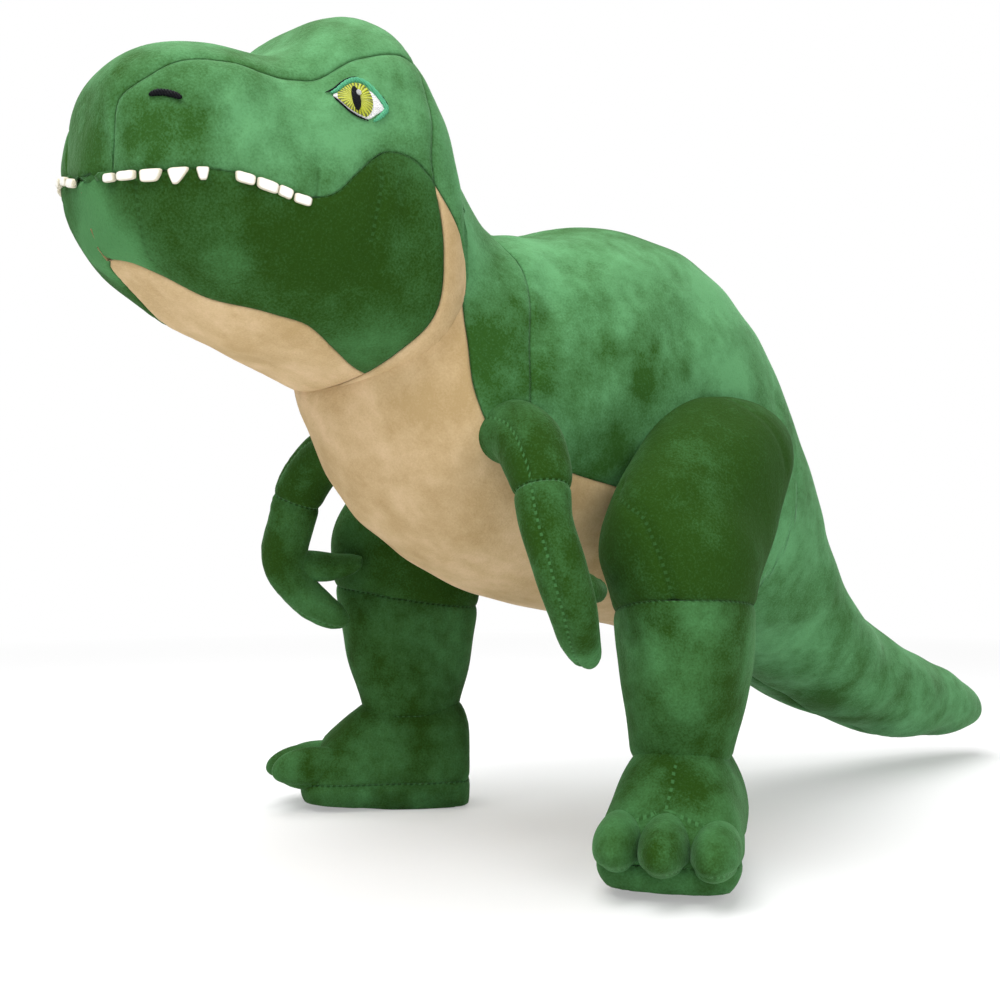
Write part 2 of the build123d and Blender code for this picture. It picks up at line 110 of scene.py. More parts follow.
# Arm and finger: (x, y, z, radius), and how far out and how much higher the right arm hangs at each point.
ARM_PATH = np.array([
    (40, -129, 158, 10), (50, -130, 158.5, 11.4), (61, -131, 156.5, 11.8), (72, -134, 146, 11.4),
    (80, -137, 128, 10.0), (87, -137, 110, 9.2), (87, -131, 96, 8.0), (82, -122, 84.5, 6.7),
    (78, -115.5, 79, 4.9), (76.4, -112.8, 77.1, 2.4), (76, -112.2, 76.7, 0.5),
])
ARM_SHIFT = np.array(((0, 0), (1, 0), (3, 0), (3.5, 0), (3, 1), (3, 2.5), (2, 4), (1, 6), (0, 7), (0, 7),
                      (0, 7)))
FINGER_PATH = np.array([
    (88, -136, 105.5, 5.5), (85.5, -126, 104, 6.1), (80, -116, 102.5, 5.6), (76.5, -110, 102.8, 4.0),
    (75.2, -107.8, 103.1, 2.2), (74.8, -107.1, 103.2, 0.4),
])
FINGER_SHIFT = np.array(((1, 4), (0, 5), (-1, 6.5), (-3, 8), (-3, 8.5), (-3, 8.5)))
ARM_SEAM = 0.43
PAST_SHOULDER = 60      # of SAMPLES, from where on the arm only falls
ELBOW_Z = 137
# Seams on the left half, seen from the side as (y, z) or from above as (x, y).
MOUTH_SEAM = ((-320, 236), (-266.5, 236), (-264.5, 234.8), (-256, 233.7), (-249, 234), (-242, 234.3),
              (-237, 234), (-232, 233.2), (-222, 231), (-213, 228.6), (-206, 230.4), (-197, 239),
              (-188, 246.5), (-180, 246), (-172, 241), (-164, 234), (-140, 228))
RIGHT_MOUTH_SEAM = ((-320, 236), (-266.5, 236), (-265.6, 237.6), (-264, 240.3), (-262, 241.5),
                    (-258, 241.4), (-250, 240), (-242, 238.4), (-237, 236.8)) + MOUTH_SEAM[7:]
GUSSET_SEAM = ((17.5, -290), (17.8, -264.5), (19.5, -263.2), (23.4, -260.5), (28, -256), (31.7, -249.6),
               (34.5, -243), (38.5, -234), (41.6, -226), (42.3, -219), (43, -212.5), (45.8, -206.5),
               (48, -199), (49.2, -192), (50.3, -180), (50, -168), (49, -140))
THROAT_SEAM = ((0, -256.5), (6, -254), (12, -247.5), (19, -232), (30, -213), (33, -203), (29, -189),
               (23, -174), (20, -140))
THROAT_LEAD = 2.0       # mm over which the throat panel opens from its point
HEAD_BACK = ((-169, 340), (-167, 290), (-169, 263), (-171, 245), (-169, 236), (-164, 217), (-163, 194),
             (-168, 184), (-172, 176), (-174, 150))
CHEST_SEAM = ((-164, 232), (-155, 222), (-150, 210), (-148, 193), (-145, 172), (-137, 157), (-105, 144),
              (-83, 139), (-50, 128), (-15, 106), (6, 76), (10, 50))
SHOULDER_SEAM = ((-101, 275), (-108, 252), (-117, 232), (-120, 214), (-125, 190), (-126, 177), (-125, 150),
                 (-119, 110))
# Embroidery on the left side of the head, as (y, z).
EYE_MIDDLE = np.array((-196.2, 262.0))
EYE_OUTLINE = ((-203.6, 263.0), (-201.9, 264.2), (-200.2, 265.8), (-198.2, 267.3), (-195.9, 268.0),
               (-193.9, 267.6), (-192.4, 266.6), (-191.2, 265.5), (-189.9, 264.3), (-188.8, 262.8),
               (-187.9, 260.6), (-190.7, 258.2), (-193.8, 256.3), (-195.4, 256.6), (-197.3, 257.4),
               (-199.3, 258.6), (-201.1, 260.3), (-202.4, 261.8))
LID_LINE = ((-204.4, 263.7), (-202.0, 265.1), (-199.9, 267.0), (-198.0, 268.4), (-196.0, 269.2),
            (-194.0, 269.0), (-192.2, 267.9), (-190.7, 266.2), (-189.3, 264.4), (-188.0, 262.1),
            (-187.4, 260.2), (-188.5, 258.6), (-190.3, 256.9), (-192.3, 255.4))
LOWER_LINE = ((-203.6, 262.7), (-202.5, 261.3), (-201.1, 259.7), (-199.4, 258.0), (-197.5, 256.8),
              (-195.3, 256.0), (-193.6, 255.5))
IRIS_MIDDLE = np.array((-197.1, 262.2))
IRIS_HALF = np.array((5.3, 6.6))
PUPIL_HALF = np.array((1.35, 4.1))
SPARK_MIDDLE = np.array((-196.1, 264.1))
SPARK_HALF = np.array((0.75, 0.9))
NOSTRIL_LINE = ((-257.4, 257.3), (-255.6, 257.9), (-254.0, 257.7), (-252.2, 256.9), (-250.4, 255.7))
# Teeth of the left side: (distance along the lip from the middle, width, height, taper, lean of the tip).
TEETH = ((16.0, 5.7, 2.8, 0.05, 0.0), (24.0, 8.0, 2.9, 0.05, 0.0), (33.1, 8.2, 3.9, 0.30, -0.13),
         (41.8, 7.8, 5.0, 0.78, -0.2), (48.9, 4.4, 4.0, 0.5, 0.0), (61.9, 6.7, 3.3, 0.12, 0.06),
         (69.2, 7.4, 3.5, 0.08, 0.05), (75.5, 5.0, 3.4, 0.08, 0.0), (81.3, 6.0, 3.1, 0.05, 0.0))
RIGHT_TEETH = ((5.0, 8.5, 3.0, 0.05, 0.0), (15.0, 8.5, 3.0, 0.05, 0.0),
               (24.5, 7.5, 3.0, 0.05, 0.0)) + TEETH[2:]


# ---------------------------------------------------------------- values that a user may change

def colour(name, description, *default):
    """A colour that a user may change."""
    return FloatVectorProperty(name=name, description=description, subtype="COLOR", size=3, min=0, max=1,
                               default=default)


def length(name, description, default, low, high):
    """A length that a user may change."""
    return FloatProperty(name=name, description=description, unit="LENGTH", min=low, max=high,
                         default=default)


def power(name, description, default):
    """A lamp's power."""
    return FloatProperty(name=name, description=description, unit="POWER", min=0, max=500, default=default)


class DINO_PG_fabric(bpy.types.PropertyGroup):
    """Colours of the cloths and threads. Each plush cloth has a pale, lit copy and a deep, shaded copy:
    painted light and painted shade that its nap patches swing between.
    """
    light_green: colour("Light green plush", "Head, neck, back and tail, pale nap", 0.110, 0.305, 0.128)
    # Shaded copy of the light green cloth: painted shade where the nap lies away from the light.
    light_green_shaded: colour("Light green, deep", "Where its nap lies away", 0.025, 0.084, 0.012)
    mid_green: colour("Mid green plush", "Arms, shins and feet, pale nap", 0.075, 0.225, 0.080)
    dark_green: colour("Dark green plush", "Jaw and thighs, pale nap", 0.070, 0.215, 0.075)
    # Shaded copy of both dark cloths: painted shade where the nap lies away from the light.
    dark_green_shaded: colour("Dark green, deep", "Where the two dark naps lie away", 0.017, 0.053, 0.0042)
    beige: colour("Beige plush", "Throat and belly, pale nap", 0.640, 0.475, 0.285)
    # Shaded copy of the beige cloth: painted shade where the nap lies away from the light.
    beige_shaded: colour("Beige, deep", "Where its nap lies away", 0.440, 0.310, 0.150)
    tooth: colour("Tooth cloth", "Teeth", 0.900, 0.880, 0.820)
    iris: colour("Iris thread", "Outer iris threads", 0.460, 0.500, 0.022)
    lid: colour("Lid cord", "Piping round the eyes", 0.090, 0.400, 0.210)


class DINO_PG_sewing(bpy.types.PropertyGroup):
    """Sizes of the sewing."""
    cloth: length("Cloth", "Thickness of the plush", 0.0018, 0.001, 0.004)
    valley: length("Seam depth", "How far a seam sinks between its panels", 0.0010, 0, 0.006)
    valley_width: length("Seam width", "How far from the seam the cloth starts to sink", 0.0016, 0.001, 0.02)
    stitch: length("Stitch pitch", "Length of one stitch", 0.0026, 0.001, 0.006)
    pucker: length("Pucker", "Height of the gathers beside a seam", 0.00022, 0, 0.002)
    lumps: length("Lumps", "Height of the filling's lumps", 0.0011, 0, 0.005)
    grid: length("Grid", "Spacing of the cloth's mesh", 0.0024, 0.001, 0.01)


class DINO_PG_stage(bpy.types.PropertyGroup):
    """Camera and lights."""
    lens: FloatProperty(
        name="Lens", description="Focal length on a 36 mm sensor", unit="CAMERA", min=10, max=200,
        default=49.03)
    key: power("Key light", "Power of the large lamp above", 17)
    fill: power("Fill light", "Power of the lamp beside the camera", 5)
    room: FloatProperty(
        name="Room light", description="Strength of the even light all round", min=0, max=2, default=0.42)


# ---------------------------------------------------------------- surfaces worked out as arrays

def spline(knots, table, u):
    """Rows of table at u: a cubic through every row, its slope at a knot the mean of the two spans' slopes,
    each weighted by the other span's length."""
    span = np.diff(knots)
    slope = np.diff(table, axis=0) / span[:, None]
    inner = (slope[:-1] * span[1:, None] + slope[1:] * span[:-1, None]) / (span[:-1] + span[1:])[:, None]
    tangent = np.vstack([slope[:1], inner, slope[-1:]])
    u = np.clip(u, knots[0], knots[-1])
    i = np.clip(np.searchsorted(knots, u, side="right") - 1, 0, len(span) - 1)
    h = span[i]
    t = (u - knots[i]) / h
    t, h = t[..., None], h[..., None]
    return ((2 * t**3 - 3 * t**2 + 1) * table[i] + (t**3 - 2 * t**2 + t) * h * tangent[i]
            + (3 * t**2 - 2 * t**3) * table[i + 1] + (t**3 - t**2) * h * tangent[i + 1])


def knots_of(table):
    """Distance along the rows: the running sum of the lengths of their differences."""
    return np.concatenate([[0.0], np.cumsum(np.linalg.norm(np.diff(table, axis=0), axis=1))])


def bent(a, power):
    """Sign of a times |a| to the given power."""
    return np.sign(a) * np.abs(a) ** power


class RingSkin:
    """Surface through side-view rings. At (u, v) it is the ring's middle, plus X times half width times
    S(sin 2 pi v), plus the ring's upward half times S(cos 2 pi v), where S(a) = sign(a) |a|^(2 /
    roundness)."""

    facing = 1

    def __init__(self, rings):
        middle = (rings[:, 0:2] + rings[:, 2:4]) / 2
        up = (rings[:, 0:2] - rings[:, 2:4]) / 2
        self.table = np.column_stack([middle, up, rings[:, 4], rings[:, 5]])
        self.knots = knots_of(np.column_stack([middle, np.linalg.norm(up, axis=1), rings[:, 4]]))
        self.end = self.knots[-1]

    def __call__(self, u, v):
        row = spline(self.knots, self.table, u)
        power = 2 / row[..., 5]
        c, s = bent(np.cos(2 * np.pi * v), power), bent(np.sin(2 * np.pi * v), power)
        y, z = row[..., 0] + row[..., 2] * c, row[..., 1] + row[..., 3] * c
        return np.stack([row[..., 4] * s, y, z], axis=-1)


class ColumnSkin:
    """Surface through level rings. At (u, v) it is the ring's middle plus half width times S(cos 2 pi v)
    and half depth times S(sin 2 pi v) along two level directions, X and Y turned by the ring's turn; S as
    in RingSkin."""

    facing = 1

    def __init__(self, rings, roundness=2.15):
        self.table, self.power = rings.astype(float), 2 / roundness
        self.knots = knots_of(self.table[:, :5])
        self.end = self.knots[-1]

    def __call__(self, u, v):
        row = spline(self.knots, self.table, u)
        wide = row[..., 3] * bent(np.cos(2 * np.pi * v), self.power)
        deep = row[..., 4] * bent(np.sin(2 * np.pi * v), self.power)
        c, s = np.cos(np.radians(row[..., 5])), np.sin(np.radians(row[..., 5]))
        x, y = row[..., 1] + wide * c - deep * s, row[..., 2] + wide * s + deep * c
        return np.stack([x, y, row[..., 0]], axis=-1)


class FootSkin:
    """Surface through upright rings along the foot: half width times S(sin 2 pi v) aside, up to 16 % less
    towards the top, and half height times S(cos 2 pi v) up, no lower than a sole that lifts off the ground
    towards the toes, then turned outwards by SPLAY."""

    facing, power, floor = -1, 0.86, ((10, 44), (0.3, 3.3))

    def __init__(self, rings):
        self.table = rings.astype(float)
        self.knots = knots_of(self.table)
        self.end = self.knots[-1]

    def __call__(self, u, v):
        row = spline(self.knots, self.table, u)
        c, s = bent(np.cos(2 * np.pi * v), self.power), bent(np.sin(2 * np.pi * v), self.power)
        height = (row[..., 1] + row[..., 2]) / 2 + (row[..., 2] - row[..., 1]) / 2 * c
        floor = np.interp(row[..., 0], *self.floor)
        aside = row[..., 3] * s * (1 - 0.16 * np.maximum(c, 0))
        return on_foot(row[..., 0], aside, np.maximum(height, floor))

    def level(self, height):
        """v at which the skin is so high, as a function of u."""
        def v_of(u):
            row = spline(self.knots, self.table, u)
            share = (2 * height - row[..., 1] - row[..., 2]) / (row[..., 2] - row[..., 1])
            return np.arccos(np.clip(bent(share, 1 / self.power), -1, 1)) / (2 * np.pi)
        return v_of


def on_foot(ahead, aside, height):
    """Point ahead of the left ankle along the foot, to its side, and up."""
    x = ANKLE[0] + ahead * math.sin(SPLAY) + aside * math.cos(SPLAY)
    y = ANKLE[1] - ahead * math.cos(SPLAY) + aside * math.sin(SPLAY)
    return np.stack([x, y, height + 0 * x], axis=-1)


class TubeSkin:
    """Round tube along a path: the path's point plus radius times (cos 2 pi v sideways + sin 2 pi v
    upwards), both square to the path."""

    facing = 1

    def __init__(self, path, side):
        self.table = path.astype(float)
        self.knots = knots_of(self.table)
        self.end, self.side = self.knots[-1], np.array(side, float)

    def __call__(self, u, v):
        row = spline(self.knots, self.table, u)
        step = spline(self.knots, self.table, u + 0.5) - spline(self.knots, self.table, u - 0.5)
        along = unit(step[..., :3])
        aside = unit(self.side - along * (along @ self.side)[..., None])
        up = np.cross(along, aside)
        c, s = np.cos(2 * np.pi * v)[..., None], np.sin(2 * np.pi * v)[..., None]
        return row[..., :3] + row[..., 3:4] * (aside * c + up * s)


def unit(a):
    """Vectors scaled to length 1."""
    return a / np.maximum(np.linalg.norm(a, axis=-1, keepdims=True), 1e-9)


def rounded(points, count=240):
    """A polyline's corners rounded: a spline through its points, sampled evenly."""
    points = np.array(points, float)
    knots = knots_of(points)
    return spline(knots, points, np.linspace(0, knots[-1], count))


def nearest(points, line):
    """Signed distance of 2-D points from an open line, positive on its left, and the run along the line to
    their nearest point on it."""
    a, b = line[:-1], line[1:]
    step = b - a
    gap = points[..., None, :] - a
    t = np.clip((gap * step).sum(-1) / (step**2).sum(-1), 0, 1)
    off = gap - t[..., None] * step
    distance = np.linalg.norm(off, axis=-1)
    near = distance.argmin(-1)[..., None]
    take = lambda values: np.take_along_axis(values, near, -1)[..., 0]
    cross = step[:, 0] * off[..., 1] - step[:, 1] * off[..., 0]
    run = knots_of(line)[:-1] + t * np.linalg.norm(step, axis=1)
    return take(distance) * np.sign(take(cross)), take(run)


def beside(points, line):
    """Signed distance of 2-D points from an open line, positive on its left."""
    return nearest(points, line)[0]


HALVINGS = 22


def halve(test, low, high):
    """Where test changes sign between low and high, by halving. Keeps high where it doesn't change."""
    low, high = np.array(low, float), np.array(high, float)
    start = test(low) > 0
    for _ in range(HALVINGS):
        middle = (low + high) / 2
        same = (test(middle) > 0) == start
        low, high = np.where(same, middle, low), np.where(same, high, middle)
    return high


def seam_around(skin, line, axes, low, high):
    """v of a seam that runs along u: a function of u that gives where the skin crosses the seam between v
    low and high, as seen along the axis that is left out of axes."""
    us = np.linspace(0, skin.end, 260)
    line = rounded(line)
    top = low(us) if callable(low) else np.full(us.size, float(low))
    bottom = high(us) if callable(high) else np.full(us.size, float(high))
    vs = halve(lambda v: beside(skin(us, v)[:, axes], line), top, bottom)
    return lambda u: np.interp(u, us, vs)


def seam_across(skin, line, axes, v_of, low, high, shares):
    """u of a seam that runs across the skin, at each share of the way between two seams."""
    line = rounded(line)
    full = np.full(len(shares), 1.0)
    return halve(lambda u: beside(skin(u, v_of(u, shares))[:, axes], line), low * full, high * full)


def spaced(count, ends):
    """Shares from 0 to 1, closer together near the ends that are sewn."""
    t = np.linspace(0, 1, count)
    first, last = ends
    if first and last:
        return 0.45 * t + 0.55 * (1 - np.cos(np.pi * t)) / 2
    if first:
        return 0.45 * t + 0.55 * (1 - np.cos(np.pi * t / 2))
    if last:
        return 0.45 * t + 0.55 * np.sin(np.pi * t / 2)
    return t


WAVES = np.array([
    (0.091, 0.043, 0.022), (-0.031, 0.102, 0.050), (0.048, -0.060, 0.120), (0.150, 0.081, -0.060),
    (-0.112, 0.141, 0.100), (0.062, 0.171, -0.150), (0.210, -0.110, 0.130), (-0.180, -0.120, 0.240),
])


def lumps(points):
    """Mean of eight sine waves 25 to 60 mm long, each in its own direction, weighted by wave length."""
    phase = np.arange(len(WAVES)) * 1.7
    weight = 0.1 / np.linalg.norm(WAVES, axis=1)
    return (np.sin(points @ WAVES.T + phase) * weight).sum(-1) / weight.sum() * 1.8


def valley(gap, width):
    """1 at a seam, falling to 0 away from it: exp(-(gap / width)^1.3)."""
    return np.exp(-(np.maximum(gap, 0) / width) ** 1.3)


def skin_normals(skin, u, v):
    """Outward unit normals of a skin at (u, v): the cross product of its steps across and along."""
    across = skin(u, v + 4e-4) - skin(u, v - 4e-4)
    along = skin(u + 0.15, v) - skin(u - 0.15, v)
    return unit(np.cross(across, along)) * skin.facing


def folded_left(points):
    """Points with the right half folded onto the left."""
    return np.concatenate([np.abs(points[..., :1]), points[..., 1:]], axis=-1)


def creased(points, line, axes, side):
    """Signed distance to a fold or inner seam, the run along it, and 1 where it holds, with the right side
    folded onto the left, as seen along the axis left out of axes."""
    folded = folded_left(points)
    line = rounded(line, 60)
    offset, run = nearest(folded[..., axes], line)
    inside = (run > 0.2) & (run < knots_of(line)[-1] - 0.2)
    return offset, run, inside * (1.0 if side is None else side(folded))


INNER_SEAM = 1.5
MIN_FOLD = 1.6


def sew(name, patch, sewn, flip, creases=(), lump=1.0, nap=(), meets=False):
    """Cloth panel from a grid of skin points and their normals. Along its normal each point moves by the
    lumps, less the seam valley and the creases, plus gathers: pucker times sin(2 pi run / (2.2 stitches))
    times exp(-gap / 5 mm). A crease narrower than INNER_SEAM is a seam inside the panel: the mesh carries
    its distance and where it holds. sewn says which of the grid's four edges are seams: first row, last
    row, first column, last column. If it meets the other side's panel, the last column is no seam where it
    lies on the middle plane. The nap spots (x, y, z, radius, amount), painted light and shade, add amount
    exp(-(distance / radius)^2) to the mesh's nap."""
    points, normal = patch
    s = bpy.context.scene.dino_sewing
    row_run, col_run = (np.cumsum(np.linalg.norm(
        np.diff(points, axis=way, prepend=points.take([0], way)), axis=-1), axis=way) for way in (0, 1))
    far = np.full(points.shape[:2], 1e3)
    gaps = np.stack([row_run if sewn[0] else far, row_run[-1:] - row_run if sewn[1] else far,
                     col_run if sewn[2] else far, col_run[:, -1:] - col_run if sewn[3] else far])
    if meets:
        last = row_run[np.abs(points[:, -1, 0]) < 0.05, -1].max()
        gaps[3] += np.maximum(last - row_run[:, -1:], 0)
    gap = gaps.min(0)
    run = np.where(gaps.argmin(0) < 2, col_run, row_run)
    folded = folded_left(points)
    # Painted light and shade: the nap spots summed into the mesh's nap.
    nap_light_shade = 0 * gap
    for x, y, z, radius, amount in nap:
        nap_light_shade = nap_light_shade + amount * np.exp(-((folded - (x, y, z)) ** 2).sum(-1) / radius**2)
    push = lump * s.lumps / MM * lumps(points) - s.valley / MM * valley(gap, s.valley_width / MM)
    wander = 2.5 * np.sin(run * 0.13)
    gather = np.sin(2 * np.pi * run / (2.2 * s.stitch / MM) + wander) * (0.6 + 0.4 * np.sin(run * 0.31))
    push = push + s.pucker / MM * gather * np.exp(-gap / 5) * (1 - np.exp(-gap / 1.2))
    fields = {"inner_a": 0 * gap, "inner_b": 0 * gap, "hold_a": 0 * gap, "hold_b": 0 * gap}
    marks = iter("ab")
    for line, deep, wide, axes, side in creases:
        offset, along, holds = creased(points, line, axes, side)
        push = push - deep * np.exp(-(offset / max(wide, MIN_FOLD)) ** 2) * (holds if side else 1)
        if wide < INNER_SEAM:
            mark = next(marks)
            fields["inner_" + mark], fields["hold_" + mark] = offset * MM, holds
            run = np.where(np.abs(offset) < np.minimum(gap, 4), along, run)
    if np.allclose(points[:, 0], points[:, -1], atol=1e-6):
        push[:, -1] = push[:, 0]
    shaped = points + normal * push[..., None]
    shaped[..., 2] = np.maximum(shaped[..., 2], LOWEST)
    fields.update(seam_gap=gap * MM, seam_run=run * MM, nap=nap_light_shade)
    return make_grid(name, shaped, flip, fields, s.cloth)


SLIVER = 1e-5       # a face smaller than this many square mm is left out


def make_grid(name, points, flip, fields, thickness):
    """Object from a grid of points in mm: four-cornered faces, doubles merged, a wall of the given
    thickness."""
    rows, cols = points.shape[:2]
    flat = points.reshape(-1, 3)
    index = np.arange(rows * cols).reshape(rows, cols)
    faces = np.stack([index[:-1, :-1], index[1:, :-1], index[1:, 1:], index[:-1, 1:]], axis=-1).reshape(-1, 4)
    if flip:
        faces = faces[:, ::-1]
    first, second = (flat[faces[:, k + 2]] - flat[faces[:, k]] for k in (0, 1))
    size = np.linalg.norm(np.cross(first, second), axis=1)
    used, faces = np.unique(faces[size > SLIVER], return_inverse=True)
    faces = faces.reshape(-1, 4)
    mesh = bpy.data.meshes.new(name)
    mesh.vertices.add(len(used))
    mesh.vertices.foreach_set("co", (flat[used] * MM).astype(np.float32).ravel())
    mesh.loops.add(faces.size)
    mesh.loops.foreach_set("vertex_index", faces.ravel().astype(np.int32))
    mesh.polygons.add(len(faces))
    mesh.polygons.foreach_set("loop_start", np.arange(0, faces.size, 4, dtype=np.int32))
    mesh.polygons.foreach_set("loop_total", np.full(len(faces), 4, dtype=np.int32))
    mesh.update(calc_edges=True)
    for field, values in fields.items():
        layer = mesh.attributes.new(field, "FLOAT", "POINT")
        layer.data.foreach_set("value", np.asarray(values).ravel()[used].astype(np.float32))
    return merged([mesh], name, mesh, thickness)


def merged(sources, name, mesh, thickness):
    """An object of the sources' faces, its doubles merged, with a wall of the given thickness inwards."""
    work = bmesh.new()
    for source in sources:
        work.from_mesh(source)
    bmesh.ops.remove_doubles(work, verts=work.verts, dist=DOUBLE)
    work.to_mesh(mesh)
    work.free()
    mesh.polygons.foreach_set("use_smooth", np.full(len(mesh.polygons), True))
    piece = bpy.data.objects.new(name, mesh)
    bpy.context.scene.collection.objects.link(piece)
    if thickness:
        wall = piece.modifiers.new("Cloth", "SOLIDIFY")
        wall.thickness, wall.offset, wall.use_quality_normals = thickness, -1, True
    return piece


def joined(parts, name, thickness=0.0):
    """Several pieces as one object, merged where they meet."""
    meshes = [part.data for part in parts]
    piece = merged(meshes, name, bpy.data.meshes.new(name), thickness)
    for mesh in meshes:
        bpy.data.meshes.remove(mesh)
    return piece


def count_of(length):
    """Grid lines for a length in mm."""
    return int(np.clip(length / (bpy.context.scene.dino_sewing.grid / MM), 8, 230))


def mirrored(points):
    """The right side's points: X turned over."""
    return points * np.array((-1.0, 1.0, 1.0))


def sided(points, left_flip):
    """Both sides' names, points and flips, from the left's."""
    return ("left", points, left_flip), ("right", mirrored(points), not left_flip)


def one(side, name, patch, sewn, left_flip, **extra):
    """A panel laid out for the left side, or its mirror image on the right."""
    if side == "right":
        patch, left_flip = [mirrored(field) for field in patch], not left_flip
    return sew(f"{side}_{name}_cloth", patch, sewn, left_flip, **extra)


# ---------------------------------------------------------------- materials

class Socket:
    """One value or link in a material. Sums, products and powers of it add Math nodes."""

    def __init__(self, tree, socket):
        self.tree, self.socket = tree, socket

    def maths(self, operation, *others, turned=False):
        values = ([others[0], self] + list(others[1:])) if turned else ([self] + list(others))
        return self.tree.add("ShaderNodeMath", {"operation": operation}, dict(enumerate(values)))

    def __add__(self, other): return self.maths("ADD", other)
    def __sub__(self, other): return self.maths("SUBTRACT", other)
    def __rsub__(self, other): return self.maths("SUBTRACT", other, turned=True)
    def __mul__(self, other): return self.maths("MULTIPLY", other)
    def __truediv__(self, other): return self.maths("DIVIDE", other)
    def __pow__(self, other): return self.maths("POWER", other)


class Finish:
    """The node tree of a material, or of a world."""

    def __init__(self, name, family="materials"):
        self.material = getattr(bpy.data, family).new(name)
        self.material.use_nodes = True
        self.nodes = self.material.node_tree.nodes
        self.links = self.material.node_tree.links
        self.nodes.clear()

    def add(self, kind, settings=None, inputs=None, output=0):
        """A node of the given type: its settings first, then the values or links of its sockets."""
        node = self.nodes.new(kind)
        for key, value in (settings or {}).items():
            if key == "stops":
                ramp = node.color_ramp
                while len(ramp.elements) < len(value):
                    ramp.elements.new(0.5)
                for element, (place, colour) in zip(ramp.elements, value):
                    element.position, element.color = place, (*colour, 1)
            else:
                setattr(node, key, value)
        for key, value in (inputs or {}).items():
            if isinstance(value, Socket):
                self.links.new(value.socket, node.inputs[key])
            else:
                node.inputs[key].default_value = value
        return Socket(self, node.outputs[output])

    def noise(self, scale, detail=2.0, roughness=0.5, stretch=(1, 1, 1), at=(0, 0, 0)):
        """Noise on Object coordinates, 0 to 1."""
        place = self.add("ShaderNodeMapping", {}, {"Vector": self.here(), "Scale": stretch, "Location": at})
        return self.add("ShaderNodeTexNoise", {}, {"Vector": place, "Scale": scale, "Detail": detail,
                                                   "Roughness": roughness})

    def here(self):
        """The point in the object's own coordinates, in metres."""
        return self.add("ShaderNodeTexCoord", {}, {}, output="Object")

    def field(self, name):
        """A value that the mesh carries."""
        return self.add("ShaderNodeAttribute", {"attribute_name": name}, {}, output="Fac")

    def mix(self, share, a, b):
        """Colour a at share 0, b at 1."""
        a, b = (side if isinstance(side, Socket) else (*side, 1) for side in (a, b))
        return self.add("ShaderNodeMix", {"data_type": "RGBA"}, {0: share, 6: a, 7: b}, output=2)

    def ramp(self, value, *stops):
        """Grey ramp over a value: (place, level) pairs."""
        return self.add("ShaderNodeValToRGB", {"stops": [(p, (g, g, g)) for p, g in stops]}, {"Fac": value})

    def finish(self, bump, distance, strength=1.0, **sockets):
        """Principled shader with its bump, to the output."""
        normal = self.add("ShaderNodeBump", {}, {"Height": bump, "Distance": distance, "Strength": strength})
        names = {key.replace("_", " "): value for key, value in sockets.items()}
        shader = self.add("ShaderNodeBsdfPrincipled", {}, {**names, "Normal": normal})
        self.add_output(shader)
        return self.material

    def add_output(self, shader, kind="ShaderNodeOutputMaterial"):
        """The tree's output, which shows the shader."""
        node = self.nodes.new(kind)
        self.links.new(shader.socket, node.inputs["Surface"])


def shade(colour, factor, warm=0.0):
    """A colour made darker or lighter, and a little yellower."""
    return tuple(min(part * factor * tint, 1) for part, tint in zip(colour, (1 + warm, 1, 1 - warm)))


def plush(name, pale, deep, glow, blotch, nap_light_shade, stitch_highlight, seed):
    """Short-pile velvet. The nap lies in patches: noise 60 mm, 24 mm and 7 mm across, summed, plus the
    mesh's own nap, swings the colour between its deep and its pale shade, a shaded and a lit copy of the
    cloth: painted light and shade in patches. Fine fibres speckle it, a seam's bottom is painted darker as
    shade, and pale stitches dot its edge, brightened as a painted highlight."""
    f = Finish(name)
    pale, deep = tuple(pale), tuple(deep)
    wide = f.noise(16, 2, 0.5, at=(seed, 0, 0))
    patch = f.noise(44, 2, 0.5, stretch=(1, 1, 0.7), at=(0, seed, 0))
    small = f.noise(150, 3, 0.6, at=(0, 0, seed))
    fibre = f.noise(1300, 2, 0.7)
    # Nap patches and the mesh's nap spots: painted light and shade, between the lit and the shaded copy.
    nap = (wide * 0.50 + patch * 0.65 + small * 0.35 - 0.75) * blotch + 0.5 + f.field("nap") * 0.20 + nap_light_shade
    swing = f.ramp(nap, (0.28, 0.0), (0.50, 0.45), (0.74, 1.0)) + (fibre - 0.5) * 0.8
    inner = [f.field("inner_" + k).maths("ABSOLUTE") + (1 - f.field("hold_" + k)) for k in "ab"]
    gap = f.field("seam_gap").maths("MINIMUM", inner[0].maths("MINIMUM", inner[1]))
    run = f.field("seam_run")
    # Painted shade in a seam's bottom and along inner seams, where shade falls in the valley.
    depth = 1 - f.ramp(gap * 1000 + small * 0.6 - 0.3, (0.0, 0.0), (0.30, 0.35), (1.0, 1.0))
    pitch = bpy.context.scene.dino_sewing.stitch
    beat = (run * (2 * math.pi / pitch)).maths("SINE") * 0.5 + 0.5
    # Real stitches along the seam, painted brighter than the cloth as a painted highlight.
    thread = f.ramp(gap * 700, (0.0, 1.0), (0.25, 1.0), (0.5, 0.0)) * f.ramp(beat, (0.45, 0.0), (0.7, 1.0))
    base = f.mix(swing, deep, pale)
    base = f.mix(depth * 0.45, base, shade(deep, 0.7))
    base = f.mix(thread * stitch_highlight, base, shade(pale, 1.5))
    tuft = f.noise(420, 3, 0.7)
    height = fibre * 0.35 + tuft * 0.40 + small * 0.9 + patch * 0.8 + thread * 0.2
    return f.finish(height, 0.0011, 0.5, Base_Color=base, Roughness=0.92, Specular_IOR_Level=0.08,
                    Sheen_Weight=glow, Sheen_Roughness=0.34, Sheen_Tint=(*(c**0.6 for c in pale), 1))


